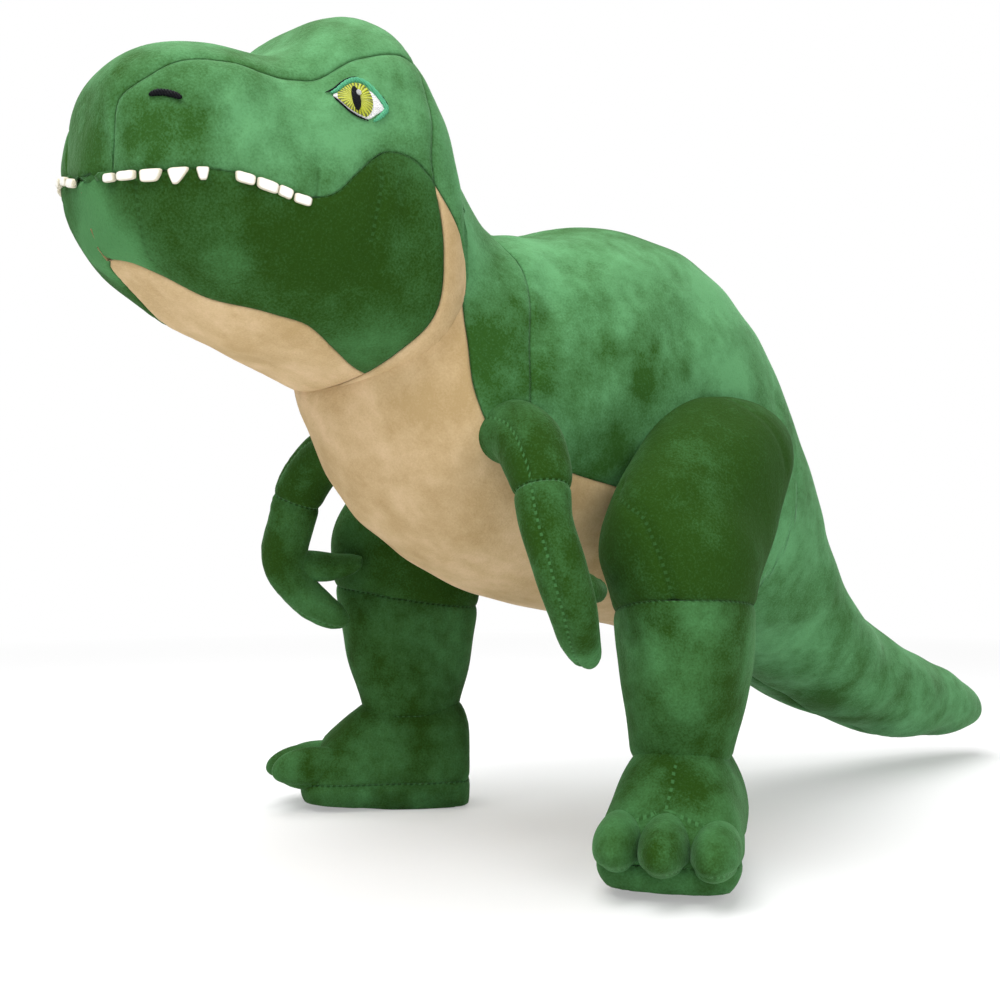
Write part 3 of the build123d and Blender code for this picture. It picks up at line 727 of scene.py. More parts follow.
def fibre_fill():
    """Loose white filling: curled fibres from two stretched noises."""
    f = Finish("fibre_filling")
    curl = f.noise(90, 6, 0.75, stretch=(1, 3, 1)) * 0.5 + f.noise(400, 4, 0.8, stretch=(3, 1, 1)) * 0.5
    base = f.mix(curl, (0.72, 0.72, 0.69), (0.93, 0.93, 0.91))
    return f.finish(curl, 0.002, 0.8, Base_Color=base, Roughness=0.95, Sheen_Weight=0.3, Sheen_Roughness=0.6)


def board():
    """Fibre board: pressed flecks."""
    f = Finish("stiffener")
    fleck = f.noise(600, 4, 0.8)
    base = f.mix(fleck, (0.74, 0.73, 0.68), (0.88, 0.87, 0.84))
    return f.finish(fleck, 0.0003, 0.6, Base_Color=base, Roughness=0.6)


def pellet_bag():
    """Small beads under thin cloth: round cells 3 mm across, each painted darker towards its rim as shade
    between the beads.
    """
    f = Finish("pellets")
    cell = f.add("ShaderNodeTexVoronoi", {"feature": "F1"}, {"Vector": f.here(), "Scale": 330.0})
    base = f.mix(cell, (0.86, 0.86, 0.85), (0.55, 0.55, 0.55))
    return f.finish(1 - cell, 0.0015, 0.9, Base_Color=base, Roughness=0.7)


def tooth_cloth(colour):
    """Brushed off-white cloth, darker and yellower towards its rounded edge. The mesh carries radius 0 to 1.
    """
    f = Finish("tooth_plush")
    nap = f.noise(500, 4, 0.7) * 0.6 + f.noise(120, 2, 0.5) * 0.4
    base = f.mix(nap, shade(colour, 0.95, 0.01), shade(colour, 1.05))
    rim = f.ramp(f.field("radius") + nap * 0.10, (0.80, 0.0), (1.02, 1.0))
    base = f.mix(rim * 0.75, base, (0.50, 0.44, 0.28))
    return f.finish(nap, 0.0004, 0.5, Base_Color=base, Roughness=0.75, Sheen_Weight=0.15, Sheen_Roughness=0.4)


def satin_thread(name, thread, shadow, threads, dark):
    """Satin stitches that run out from the middle. Between the threads, and more so towards both ends of
    them, the shadow colour shows. The mesh carries radius 0 to 1 and turn in radians."""
    f = Finish(name)
    radius, turn = f.field("radius"), f.field("turn")
    wobble = f.noise(600, 2, 0.6)
    strand = ((turn + wobble * 0.16) * threads).maths("SINE") * 0.5 + 0.5
    ends = f.ramp(radius + wobble * 0.20, (0.25, 0.6), (0.45, 0.0), (0.70, 0.25), (1.10, 1.0))
    base = f.mix(wobble, shade(thread, 0.80), shade(thread, 1.25))
    base = f.mix((1 - strand) ** 1.5 * ends * dark, base, shadow)
    return f.finish(strand + wobble * 0.4, 0.0004, 0.8, Base_Color=base, Roughness=0.45, Sheen_Weight=0.2,
                    Sheen_Roughness=0.3)


def plain_thread(name, colour, seed):
    """Close stitches side by side, slanted, with small changes of shade."""
    f = Finish(name)
    line = f.add("ShaderNodeTexWave", {"wave_type": "BANDS", "bands_direction": "DIAGONAL"},
                 {"Vector": f.here(), "Scale": 480.0, "Distortion": 2.5, "Detail": 2.0, "Phase Offset": seed})
    tone = f.noise(500, 3, 0.6)
    base = f.mix(tone * 0.5 + line * 0.4, shade(colour, 0.72), shade(colour, 1.15))
    return f.finish(line, 0.0003, 0.8, Base_Color=base, Roughness=0.6, Specular_IOR_Level=0.15)


CLOTHS = {}


def cloth(slot):
    """The material of a slot, made once."""
    c = bpy.context.scene.dino_fabric
    makers = {
        "light_green_plush": lambda: plush(slot, c.light_green, c.light_green_shaded, 0.45, 1.1, 0.03, 0.0,
                                           0.3),
        "mid_green_plush": lambda: plush(slot, c.mid_green, c.dark_green_shaded, 0.45, 1.0, -0.07, 0.3, 1.7),
        "dark_green_plush": lambda: plush(slot, c.dark_green, c.dark_green_shaded, 0.20, 0.6, -0.12, 0.12, 2.9),
        "beige_plush": lambda: plush(slot, c.beige, c.beige_shaded, 0.20, 1.3, 0.0, 0.0, 4.1),
        "fibre_filling": fibre_fill,
        "stiffener": board,
        "pellets": pellet_bag,
        "tooth_plush": lambda: tooth_cloth(tuple(c.tooth)),
        "eye_white_thread": lambda: satin_thread(slot, (0.88, 0.86, 0.87), (0.60, 0.58, 0.60), 40, 0.3),
        "iris_thread": lambda: satin_thread(slot, tuple(c.iris), (0.030, 0.045, 0.004), 31, 1.0),
        "dark_thread": lambda: plain_thread(slot, (0.0015, 0.0020, 0.0040), 0.4),
        "lid_thread": lambda: plain_thread(slot, tuple(c.lid), 1.1),
    }
    if slot not in CLOTHS:
        CLOTHS[slot] = makers[slot]()
    return CLOTHS[slot]


def dress(piece, slot, nodes, body=None, across=None):
    """Gives a piece its finish, says which nodes it stands for, and ties it to its body; a piece given two
    bodies with the points where its bend starts and ends is baked where it lies instead."""
    piece.data.materials.append(cloth(slot))
    if nodes:
        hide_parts(*nodes)
    if across:
        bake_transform(piece)
    else:
        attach(piece, body)
    return piece


def panels(name, patch, sewn, left_flip, slot, nodes=(), body=None, across=None, fill=None, **extra):
    """The left panel and its mirror image, dressed. Each stands for its side's nodes of these names, or for
    the one of its own name. The body is that limb of its side."""
    for side in SIDES:
        piece = one(side, name, patch, sewn, left_flip, **extra)
        dress(piece, slot, [f"{side}_{node}" for node in nodes or [name]],
              body=f"{side}_{body}" if body else None, across=across)


# ---------------------------------------------------------------- skins and seams of this toy

def head_layout(side="left"):
    """Head skin and its seams: gusset, mouth and throat as v of u. The mouth sits a little higher on the
    right of the snout. Both are laid out as if on the left."""
    skin = RingSkin(HEAD_RINGS)
    mouth = seam_around(skin, MOUTH_SEAM if side == "left" else RIGHT_MOUTH_SEAM, SIDE_VIEW, 0.02, 0.48)
    gusset = seam_around(skin, GUSSET_SEAM, PLAN, 0.001, mouth)
    throat_low = seam_around(skin, THROAT_SEAM[::-1], PLAN, 0.499, 0.27)
    us = np.linspace(0, skin.end, SAMPLES)
    start = us[np.argmax(skin(us, np.full(SAMPLES, 0.5))[:, 1] > THROAT_SEAM[0][1] + 0.3)]
    opening = throat_low(start + THROAT_LEAD)

    def throat(u):
        eased = 0.5 + (opening - 0.5) * np.sqrt(np.clip((u - start) / THROAT_LEAD, 0, 1))
        return np.where(u < start + THROAT_LEAD, eased, np.minimum(throat_low(u), 0.5))

    return skin, gusset, mouth, throat


def body_layout():
    """Skin from the back of the head to the tail, and its chest seam."""
    skin = RingSkin(np.vstack([HEAD_RINGS[6:], TORSO_RINGS]))
    us = np.linspace(0, skin.end, 420)
    line = rounded(CHEST_SEAM)
    vs = halve(lambda v: beside(skin(us, v)[:, SIDE_VIEW], line), np.full(420, 0.03), np.full(420, 0.5))
    past = skin(us, np.full(420, 0.5))[:, 1] > 4
    vs = np.where(past & (us > skin.knots[5]), 0.5, vs)
    return skin, lambda u: np.interp(u, us, vs)


def panel_grid(skin, panel, upper, lower, first_end, last_end, sewn):
    """Grid of skin points between two seams (v as functions of u) and two ends (u as functions of the share
    across), with their normals."""
    rows, cols = (count_of(reach) for reach in REACH[panel])
    s, t = spaced(rows, sewn[:2]), spaced(cols, sewn[2:])
    first, last = first_end(t), last_end(t)
    u = first[None, :] + (last - first)[None, :] * s[:, None]
    low, high = upper(u), lower(u)
    v = low + (high - low) * t[None, :]
    return skin(u, v), skin_normals(skin, u, v)


def level(value):
    """A seam at one v."""
    return lambda u: np.full(np.shape(u), float(value))


def flat_end(value):
    """An end at one u."""
    return lambda t: np.full(len(t), float(value))


def seam_end(skin, line, upper, lower, low, high):
    """An end that follows a seam across the skin."""
    v_of = lambda u, t: upper(u) + (lower(u) - upper(u)) * t
    return lambda t: seam_across(skin, line, SIDE_VIEW, v_of, low, high, t)


TIP = 0.2       # where the head's panels start, in mm along its skin
# Points given with cloth that crosses a joint, for where its bend would start and end.
NECK_BEND = ((0, -120, 196), (0, -168, 232))
BELLY_BEND = ((0, -140, 180), (0, -166, 205))
TAIL_BEND = ((0, 40, 110), (0, 125, 66))
TOE_SEAM = ((86, -123), (92.1, -118.2), (97.3, -115.6), (101.8, -111.7), (106, -106.9), (111, -104.8),
            (117.1, -101.8), (121.9, -98), (127, -92))
INSTEP_SEAM = ((98.1, -91.7), (99.9, -96), (102.9, -100.2), (106, -106.9))
# Folds and inner seams: (line, depth, width, the two axes it is seen in, where it holds).
FRONT = lambda p: 1.0 * (p[..., 1] < -235)
OUTER_THIGH = lambda p: 1.0 * (p[..., 0] > 76)
FRONT_THIGH = lambda p: 1.0 * (p[..., 1] < -80)
CHEEK_FOLDS = (
    (((-210.2, 241), (-210.6, 235), (-211, 228)), 1.0, 1.3, SIDE_VIEW, None),
    (((-238.5, 260), (-241.9, 254.8), (-245.7, 249.6)), 0.7, 2.6, SIDE_VIEW, None),
    (((-242.1, 252.3), (-245.1, 248.8), (-248.5, 245.5)), 0.5, 1.9, SIDE_VIEW, None),
    (((-233.5, 252.5), (-238.1, 247.2), (-243.5, 242.8)), 0.6, 2.6, SIDE_VIEW, None),
    (((-251.0, 255.8), (-249.3, 253.6), (-247.5, 253)), 0.9, 0.9, SIDE_VIEW, None),
    (((-225, 259), (-230, 252), (-236, 246)), 0.4, 3.5, SIDE_VIEW, None),
)
JAW_FOLDS = (
    (((27, 235), (26.8, 231.2), (26, 225.9), (24.5, 220.1), (21.3, 213.9), (16.7, 208)), 0.4, 1.1,
     FRONT_VIEW, FRONT),
    (((35.5, 235), (34.5, 226), (31.5, 216), (28, 210)), 0.5, 2.4, FRONT_VIEW, FRONT),
    (((-190.8, 246), (-189.7, 240.5), (-189.9, 233.6), (-190.9, 227), (-191.4, 222), (-192, 215)), 0.5, 1.1,
     SIDE_VIEW, None),
    (((-181, 238), (-180, 224), (-176, 208)), 0.7, 4.0, SIDE_VIEW, None),
)
FLANK_FOLDS = (
    (((-20, 138), (0, 158), (4, 176)), 0.8, 4.0, SIDE_VIEW, None),
    (((-118, 214), (-106, 206), (-98, 196)), 0.7, 3.5, SIDE_VIEW, None),
    (((-131, 172), (-124, 190), (-112, 205)), 1.0, 5.0, SIDE_VIEW, None),
)
THIGH_FOLDS = (
    (((76, 142), (78, 138), (87, 132.5), (95, 128), (100, 118.6), (102.6, 111), (104, 103), (105, 96)), 1.0,
     1.3, FRONT_VIEW, FRONT_THIGH),
    (((-41, 176), (-38, 166), (-34, 157), (-32, 146)), 0.8, 1.6, SIDE_VIEW, OUTER_THIGH),
)
FOOT_FOLDS = (TOE_SEAM, 0.9, 1.0, PLAN, None), (INSTEP_SEAM, 0.6, 1.0, PLAN, None)

# Painted shade (amount below 0) where the nap lies away, and painted light (above 0) where it lies towards
# the light: (x, y, z, radius, amount) on the left half.
NAP_LIGHT_SHADE_SPOTS = {
    "gusset": ((7, -265, 253, 13, -1.1), (19, -260, 266, 11, -0.9), (10, -256, 273, 9, -0.8),
               (6, -266, 240, 9, -0.9), (39, -222, 273, 14, -0.6), (34, -240, 274, 10, 0.3)),
    "cheek": ((29, -260, 250, 12, -0.8), (34, -257, 238, 14, -0.6), (44, -245, 250, 11, -0.5),
              (49, -226, 251, 15, 0.3), (56, -199, 252, 10, 0.9), (60, -182, 257, 10, 0.5),
              (54, -207, 236, 9, -0.2)),
    "jaw": ((0, -264, 222, 16, 2.3), (12, -258, 212, 9, 1.5), (8, -248, 206, 7, 1.0),
            (52, -206, 218, 20, -0.7), (39, -183, 189, 10, 0.8), (37, -231, 208, 9, 0.5),
            (58, -184, 218, 6, 0.5), (62, -175, 244, 6, 0.6)),
    "neck": ((53, -144, 188, 11, -1.1), (47, -130, 218, 8, -0.3), (46, -140, 226, 8, 0.9),
             (58, -157, 239, 7, 0.9), (56, -136, 170, 8, -0.4), (54, -130, 205, 6, -0.3)),
    "flank": ((60, -93, 208, 5, -0.6), (66, -92, 190, 7, -0.9), (65, -106, 175, 11, -1.1),
              (68, -80, 178, 8, -1.0), (61, -121, 175, 5, -0.9), (67, -72, 192, 4, -0.8),
              (69, -57, 185, 4, -0.9), (66, -87, 157, 10, -0.8), (58, -120, 202, 7, -0.5),
              (44, -77, 233, 18, 0.5), (61, -39, 215, 16, 0.5), (67, -20, 192, 11, 0.5),
              (60, 20, 125, 30, 0.3), (21, 100, 45, 12, -0.8), (38, 105, 69, 25, 0.3),
              (25, 195, 36, 45, 0.5)),
    "thigh": ((90, -60, 130, 60, -0.6), (95, -60, 155, 30, -0.4)),
    "shin": ((110, -94, 92, 8, 0.5), (96, -102, 82, 7, 0.6), (105, -94, 73, 7, 0.4),
             (88, -99, 65, 6, -0.3)),
    "upper_arm": ((70, -132, 152, 30, -1.0),),
    "forearm": ((84, -137, 120, 14, -0.3), (80, -118, 82, 20, 0.6)),
    "foot": ((108, -97, 36, 9, -1.0), (101, -108, 32, 5, -0.2), (106, -86, 43, 5, 0.6),
             (106, -118, 20, 5, 0.4)),
}

# ---------------------------------------------------------------- operators

class PieceOperator:
    bl_options = {"REGISTER", "UNDO"}

    def execute(self, context):
        self.make(context.scene)
        return {"FINISHED"}


class DINO_OT_head(PieceOperator, bpy.types.Operator):
    """Head: top gusset, two sides, two jaw panels and the throat."""
    bl_idname, bl_label = "dino.head", "Head"

    def make(self, scene):
        layouts = {side: head_layout(side) for side in SIDES}
        skin, gusset = layouts["left"][:2]
        sewn = (0, 1, 1, 1)

        def patch_of(key, upper, lower):
            back = seam_end(skin, HEAD_BACK, upper, lower, skin.knots[5], skin.end)
            return panel_grid(skin, key, upper, lower, flat_end(TIP), back, sewn)

        patch = patch_of("head_top", lambda u: -layouts["right"][1](u), gusset)
        dress(sew("head_top_cloth", patch, sewn, True, nap=NAP_LIGHT_SHADE_SPOTS["gusset"]), "light_green_plush",
              ["head_top_panel"], body="head")

        halves = []
        for side, (_, gusset, mouth, throat) in layouts.items():
            piece = one(side, "head_side_panel", patch_of("head_side", gusset, mouth), sewn, True,
                        creases=CHEEK_FOLDS, nap=NAP_LIGHT_SHADE_SPOTS["cheek"])
            dress(piece, "light_green_plush", [side + "_head_side_panel"], body="head")
            halves.append(one(side, "jaw_panel", patch_of("jaw", mouth, throat), sewn, True,
                              creases=JAW_FOLDS, nap=NAP_LIGHT_SHADE_SPOTS["jaw"], meets=True))
        dress(joined(halves, "jaw_cloth", scene.dino_sewing.cloth), "dark_green_plush",
              ["left_jaw_panel", "right_jaw_panel"], body="head")
        patch = patch_of("throat", throat, lambda u: 1 - throat(u))
        dress(sew("throat_cloth", patch, sewn, True), "beige_plush", ["throat_panel"], body="head")


class DINO_OT_body(PieceOperator, bpy.types.Operator):
    """Neck, flanks with the tail, and the belly."""
    bl_idname, bl_label = "dino.body", "Body"

    def make(self, scene):
        skin, chest = body_layout()
        zero = level(0)
        head_end = seam_end(skin, HEAD_BACK, zero, chest, 0.0, skin.knots[3])
        shoulder = seam_end(skin, SHOULDER_SEAM, zero, chest, skin.knots[3], skin.knots[8])
        patch = panel_grid(skin, "neck", zero, chest, head_end, shoulder, (1, 1, 1, 1))
        panels("neck_panel", patch, (1, 1, 1, 1), True, "light_green_plush", ("neck_panel", "nape_panel"),
               across=("torso", "head", *NECK_BEND), fill=FILL_BODY, creases=FLANK_FOLDS[2:], nap=NAP_LIGHT_SHADE_SPOTS["neck"])
        patch = panel_grid(skin, "flank", zero, chest, shoulder, flat_end(skin.end - 0.1), (1, 0, 1, 1))
        panels("flank_panel", patch, (1, 0, 1, 1), True, "light_green_plush", ("flank_panel", "tail_panel"),
               across=("torso", "tail", *TAIL_BEND), fill=FILL_BODY, creases=FLANK_FOLDS, nap=NAP_LIGHT_SHADE_SPOTS["flank"])

        right = lambda u: 1 - chest(u)
        us = np.linspace(0, skin.end, 800)
        last = us[np.argmax((chest(us) > 0.4995) & (us > skin.knots[5]))]
        start = seam_end(skin, HEAD_BACK, chest, right, 0.0, skin.knots[3])
        patch = panel_grid(skin, "belly", chest, right, start, flat_end(last), (0, 1, 1, 1))
        dress(sew("belly_cloth", patch, (0, 0, 1, 1), True), "beige_plush", ["belly_panel"],
              across=("torso", "head", *BELLY_BEND))


class DINO_OT_legs(PieceOperator, bpy.types.Operator):
    """Thighs, shins, feet, soles and toes."""
    bl_idname, bl_label = "dino.legs", "Legs"

    def make(self, scene):
        skin = ColumnSkin(LEG_RINGS)
        us = np.linspace(0, skin.end, SAMPLES)
        knee = np.interp(KNEE_Z, skin(us, np.zeros(SAMPLES))[:, 2], us)
        arch = lambda t: knee - 2 + 5 * np.cos(2 * np.pi * (t - 0.8))
        zero, full, top = level(0), level(1), flat_end(skin.end - 0.1)
        patch = panel_grid(skin, "thigh", zero, full, arch, top, (1, 0, 0, 0))
        panels("thigh_panel", patch, (1, 0, 0, 0), True, "dark_green_plush", body="leg", fill=FILL_LIMB,
               creases=THIGH_FOLDS, nap=NAP_LIGHT_SHADE_SPOTS["thigh"])
        patch = panel_grid(skin, "shin", zero, full, flat_end(4.5), arch, (1, 1, 0, 0))
        panels("shin_panel", patch, (1, 1, 0, 0), True, "mid_green_plush", body="leg", fill=FILL_LIMB,
               nap=NAP_LIGHT_SHADE_SPOTS["shin"])

        foot = FootSkin(FOOT_RINGS)
        seam = foot.level(SOLE_SEAM_Z)
        ends, sewn = (flat_end(0.2), flat_end(foot.end - 0.1)), (0, 0, 1, 1)
        patch = panel_grid(foot, "foot", lambda u: -seam(u), seam, *ends, sewn)
        panels("foot_upper", patch, sewn, False, "mid_green_plush", body="leg", fill=FILL_FOOT,
               creases=FOOT_FOLDS, lump=0.6, nap=NAP_LIGHT_SHADE_SPOTS["foot"])
        patch = panel_grid(foot, "sole", seam, lambda u: 1 - seam(u), *ends, sewn)
        panels("sole", patch, sewn, False, "mid_green_plush", body="leg", lump=0.3)
        self.toes()

    def toes(self):
        """Three stuffed toes: each is an egg, whose half sizes are TOE_HALF ahead (and its extra length),
        its half width and TOE_HEIGHTS up and down, drawn in by 0.8 exp(-((z - seam) / 1.3)^2) along the
        sole seam."""
        turn, lift = np.meshgrid(np.linspace(0, 2 * np.pi, 73), np.linspace(-np.pi / 2, np.pi / 2, 49))
        parts = {"left": [], "right": []}
        for aside, more, half_width, middle in TOES:
            flat, tall = np.cos(lift), np.sin(lift)
            shape = on_foot(TOE_ROOT + (TOE_HALF + more) * flat * np.cos(turn),
                            aside + half_width * flat * np.sin(turn),
                            middle + np.where(tall > 0, *TOE_HEIGHTS) * tall)
            outward = unit(shape - on_foot(np.full(shape.shape[:2], TOE_ROOT), aside, middle))
            gap = np.abs(shape[..., 2] - SOLE_SEAM_Z)
            shape = shape + outward * (0.6 * lumps(shape * 1.6) - 0.8 * np.exp(-(gap / 1.3) ** 2))[..., None]
            run = np.cumsum(np.linalg.norm(np.diff(shape, axis=1, append=shape[:, :1]), axis=-1), axis=1)
            # Nap 0.3 paints the toes a little lighter than the foot: painted light.
            fields = {"seam_gap": gap * MM, "seam_run": run * MM, "nap": np.full(gap.shape, 0.3)}
            for side, grid, flip in sided(shape, True):
                parts[side].append(make_grid(side + "_toe", grid, flip, fields, 0))
        for side, made in parts.items():
            dress(joined(made, side + "_toes"), "mid_green_plush", [side + "_toe_cap"], body=side + "_leg")


def hung(path, shift, side):
    """The path as the left arm hangs, or shifted outwards and upwards for the right one."""
    path = path.copy()
    path[:, [0, 2]] += shift * (side == "right")
    return path


class DINO_OT_arms(PieceOperator, bpy.types.Operator):
    """Upper arms, and forearms with their two fingers."""
    bl_idname, bl_label = "dino.arms", "Arms"

    def make(self, scene):
        start, end = level(ARM_SEAM), level(ARM_SEAM + 1)
        for side, x in (("left", 1), ("right", -1)):
            skin = TubeSkin(hung(ARM_PATH, ARM_SHIFT, side), (0, 1, 0))
            us = np.linspace(0, skin.end, SAMPLES)[PAST_SHOULDER:]
            elbow = np.interp(-ELBOW_Z, -spline(skin.knots, skin.table, us)[:, 2], us)
            patch = panel_grid(skin, "upper_arm", start, end, flat_end(0), flat_end(elbow), (0, 1, 1, 1))
            bend = (x * 44, -130, 158), (x * 66, -132, 152)
            dress(one(side, "upper_arm_panel", patch, (0, 1, 1, 1), True, nap=NAP_LIGHT_SHADE_SPOTS["upper_arm"]),
                  "mid_green_plush", [side + "_upper_arm_panel"], across=("torso", side + "_arm", *bend))
            tip = flat_end(skin.end - 0.05)
            patch = panel_grid(skin, "forearm", start, end, flat_end(elbow), tip, (1, 0, 1, 1))
            hand = one(side, "hand", patch, (1, 0, 1, 1), True, nap=NAP_LIGHT_SHADE_SPOTS["forearm"])
            finger = TubeSkin(hung(FINGER_PATH, FINGER_SHIFT, side), (0, 0, 1))
            tip = flat_end(finger.end - 0.05)
            patch = panel_grid(finger, "finger", start, end, flat_end(0), tip, (0, 0, 1, 1))
            piece = joined([hand, one(side, "finger", patch, (0, 0, 1, 1), True)], side + "_forearm_cloth",
                           scene.dino_sewing.cloth)
            dress(piece, "mid_green_plush", [side + "_forearm_panel"], body=side + "_arm")


V_RANGE = (0.02, 0.48)
STEP_U, STEP_V = 0.05, 1e-4


def skin_spot(skin, targets):
    """(u, v) and normal where the left of the skin shows these (y, z) targets: the nearest of a coarse
    grid, then Newton steps on the two coordinates."""
    u, v = np.meshgrid(np.linspace(0.5, skin.end, 90), np.linspace(*V_RANGE, 80), indexing="ij")
    seen = skin(u, v)[..., SIDE_VIEW].reshape(-1, 2)
    flat = targets.reshape(-1, 2)
    near = ((seen[None] - flat[:, None]) ** 2).sum(-1).argmin(1)
    a, b = u.ravel()[near], v.ravel()[near]
    for _ in range(6):
        here = skin(a, b)[:, SIDE_VIEW]
        da = (skin(a + STEP_U, b)[:, SIDE_VIEW] - here) / STEP_U
        db = (skin(a, b + STEP_V)[:, SIDE_VIEW] - here) / STEP_V
        miss = flat - here
        det = da[:, 0] * db[:, 1] - da[:, 1] * db[:, 0]
        a = np.clip(a + (miss[:, 0] * db[:, 1] - miss[:, 1] * db[:, 0]) / det, 0.2, skin.end)
        b = np.clip(b + (da[:, 0] * miss[:, 1] - da[:, 1] * miss[:, 0]) / det, *V_RANGE)
    place = skin(a, b)
    normal = unit(np.cross(skin(a, b + STEP_V) - place, skin(a + STEP_U, b) - place))
    return place.reshape(targets.shape[:-1] + (3,)), normal.reshape(targets.shape[:-1] + (3,))


def embroider(skin, name, middle, outline, height, low, slot, rings=26, nodes=1):
    """Domed embroidery on both sides of the head: at radius r and turn a it lies at the outline's point
    shrunk to r towards the middle, raised along the skin's normal by low + height (1 - r^2). Its edge goes
    back under the skin. Where nodes is 0 it stands for no node."""
    outline = np.vstack([outline, outline[:1]])
    r = np.concatenate([np.linspace(0.001, 1, rings), [1.0]])
    place, normal = skin_spot(skin, middle + (outline - middle)[None] * r[:, None, None])
    lift = low + height * (1 - r**2)
    lift[-1] = -2.5
    points = place + normal * lift[:, None, None]
    turn = np.broadcast_to(np.linspace(0, 2 * np.pi, outline.shape[0]), points.shape[:2])
    fields = {"radius": np.broadcast_to(r[:, None], points.shape[:2]), "turn": turn}
    for side, shape, flip in sided(points, False):
        piece = make_grid(f"{side}_{name}_stitches", shape, flip, fields, 0)
        dress(piece, slot, [f"{side}_{name}"] * nodes, body="head")


def cord_on(skin, name, line, radius, lift, slot, nodes=1):
    """Sewn cord on both sides of the head, thinner at its ends: at (s, a) the line's point raised by lift,
    plus radius (cos a along the normal + sin a across). Its ends close to a point."""
    place, normal = skin_spot(skin, line)
    across = np.cross(unit(np.gradient(place, axis=0)), normal)
    turn = np.linspace(0, 2 * np.pi, 17)
    share = np.linspace(-1, 1, len(place))
    size = radius * np.sqrt(np.clip(1 - share**4, 0, 1)) * (1 + 0.10 * np.sin(np.arange(len(place)) * 1.9))
    ring = normal[:, None] * np.cos(turn)[None, :, None] + across[:, None] * np.sin(turn)[None, :, None]
    points = (place + normal * lift)[:, None] + size[:, None, None] * ring
    for side, shape, flip in sided(points, True):
        piece = make_grid(f"{side}_{name}_cord", shape, flip, {}, 0)
        dress(piece, slot, [f"{side}_{name}"] * nodes, body="head")


def closed(points, count=96):
    """Closed smooth outline through points."""
    points = np.array(points, float)
    around = np.vstack([points[-2:], points, points[:2]])
    knots = knots_of(around)
    return spline(knots, around, np.linspace(knots[2], knots[-2], count, endpoint=False))


class DINO_OT_face(PieceOperator, bpy.types.Operator):
    """Eyes with lids, nostrils and teeth."""
    bl_idname, bl_label = "dino.face", "Face"

    def make(self, scene):
        skin = RingSkin(HEAD_RINGS)
        outline = closed(EYE_OUTLINE[::-1])
        embroider(skin, "eye_white", EYE_MIDDLE, outline, 0.6, 0.5, "eye_white_thread")
        turn = np.linspace(0, 2 * np.pi, 96, endpoint=False)
        circle = np.column_stack([np.cos(turn), np.sin(turn)])
        reach = 1 / np.linalg.norm(circle / IRIS_HALF, axis=1)
        out = outline - IRIS_MIDDLE
        angle = np.arctan2(out[:, 1], out[:, 0])
        order = np.argsort(angle)
        edge = np.interp(turn, angle[order], np.linalg.norm(out[order], axis=1), period=2 * np.pi)
        disc = IRIS_MIDDLE + circle * np.minimum(reach, 0.97 * edge)[:, None]
        embroider(skin, "iris", IRIS_MIDDLE, disc, 0.5, 1.0, "iris_thread")
        slit = IRIS_MIDDLE + np.column_stack([bent(np.cos(turn), 1.2), bent(np.sin(turn), 0.9)]) * PUPIL_HALF
        embroider(skin, "pupil", IRIS_MIDDLE, slit, 0.3, 1.45, "dark_thread")
        spark = SPARK_MIDDLE + circle * SPARK_HALF
        embroider(skin, "eye_spark", SPARK_MIDDLE, spark, 0.2, 1.9, "eye_white_thread", rings=10, nodes=0)
        lid = rounded(LID_LINE, 60)
        # A dark thread cord along the crease above the lid: a painted shadow line, not a part.
        crease = EYE_MIDDLE + (lid[:44] - EYE_MIDDLE) * 1.16
        cord_on(skin, "eyelid", lid, 0.95, 0.4, "lid_thread")
        cord_on(skin, "lid_shadow_line", crease, 0.4, 0.1, "dark_thread", nodes=0)
        cord_on(skin, "lower_line", rounded(LOWER_LINE, 60), 0.28, 0.35, "dark_thread", nodes=0)
        cord_on(skin, "nostril", rounded(NOSTRIL_LINE, 40), 1.05, -0.1, "dark_thread")
        self.teeth()

    def teeth(self):
        """Teeth: soft pads that hang from the lip. At (a, b), with r = S(cos a), a pad's point lies r S(cos
        b) half widths along the lip, r S(sin b) half heights down and 1.3 S(sin a) mm out, narrower and
        leaning towards its tip."""
        a, b = np.meshgrid(np.linspace(-np.pi / 2, np.pi / 2, 31), np.linspace(0, 2 * np.pi, 49),
                           indexing="ij")
        r = bent(np.cos(a), 0.7)
        for side, rows in (("left", TEETH), ("right", RIGHT_TEETH)):
            skin, _, mouth, _ = head_layout(side)
            us = np.linspace(0.2, skin.end, 900)
            runs = knots_of(skin(us, mouth(us)))
            made = []
            for run, width, height, taper, lean in rows:
                u = np.interp((run - 1, run, run + 1), runs, us)
                behind, here, ahead = skin(u, mouth(u))
                along = unit(ahead - behind)
                outward = skin_normals(skin, u[1:2], mouth(u[1:2]))[0]
                down = unit(np.cross(along, outward))
                drop = (bent(np.sin(b), 0.45) * r + 1) / 2
                x = r * bent(np.cos(b), 0.45) * width / 2 * (1 - taper * drop) + lean * width * drop
                bump = 0.12 * np.sin(1.9 * x + run) * np.cos(1.6 * drop * height)
                points = (here + along * x[..., None] + down * (drop * height - 0.4)[..., None]
                          + outward * (0.5 + 1.2 * bent(np.sin(a), 0.7) + bump)[..., None])
                shape = points if side == "left" else mirrored(points)
                made.append(make_grid(side + "_tooth", shape, side == "right", {"radius": r}, 0))
            dress(joined(made, side + "_tooth_row"), "tooth_plush", [side + "_teeth"], body="head")


# Fillings: (name, body, the skin's rings that they lie in, how far in).
WOOL = (("head", "head", HEAD_RINGS[1:9], 7), ("body", "torso", TORSO_RINGS[1:6], 8),
        ("tail", "tail", TORSO_RINGS[8:13], 5))


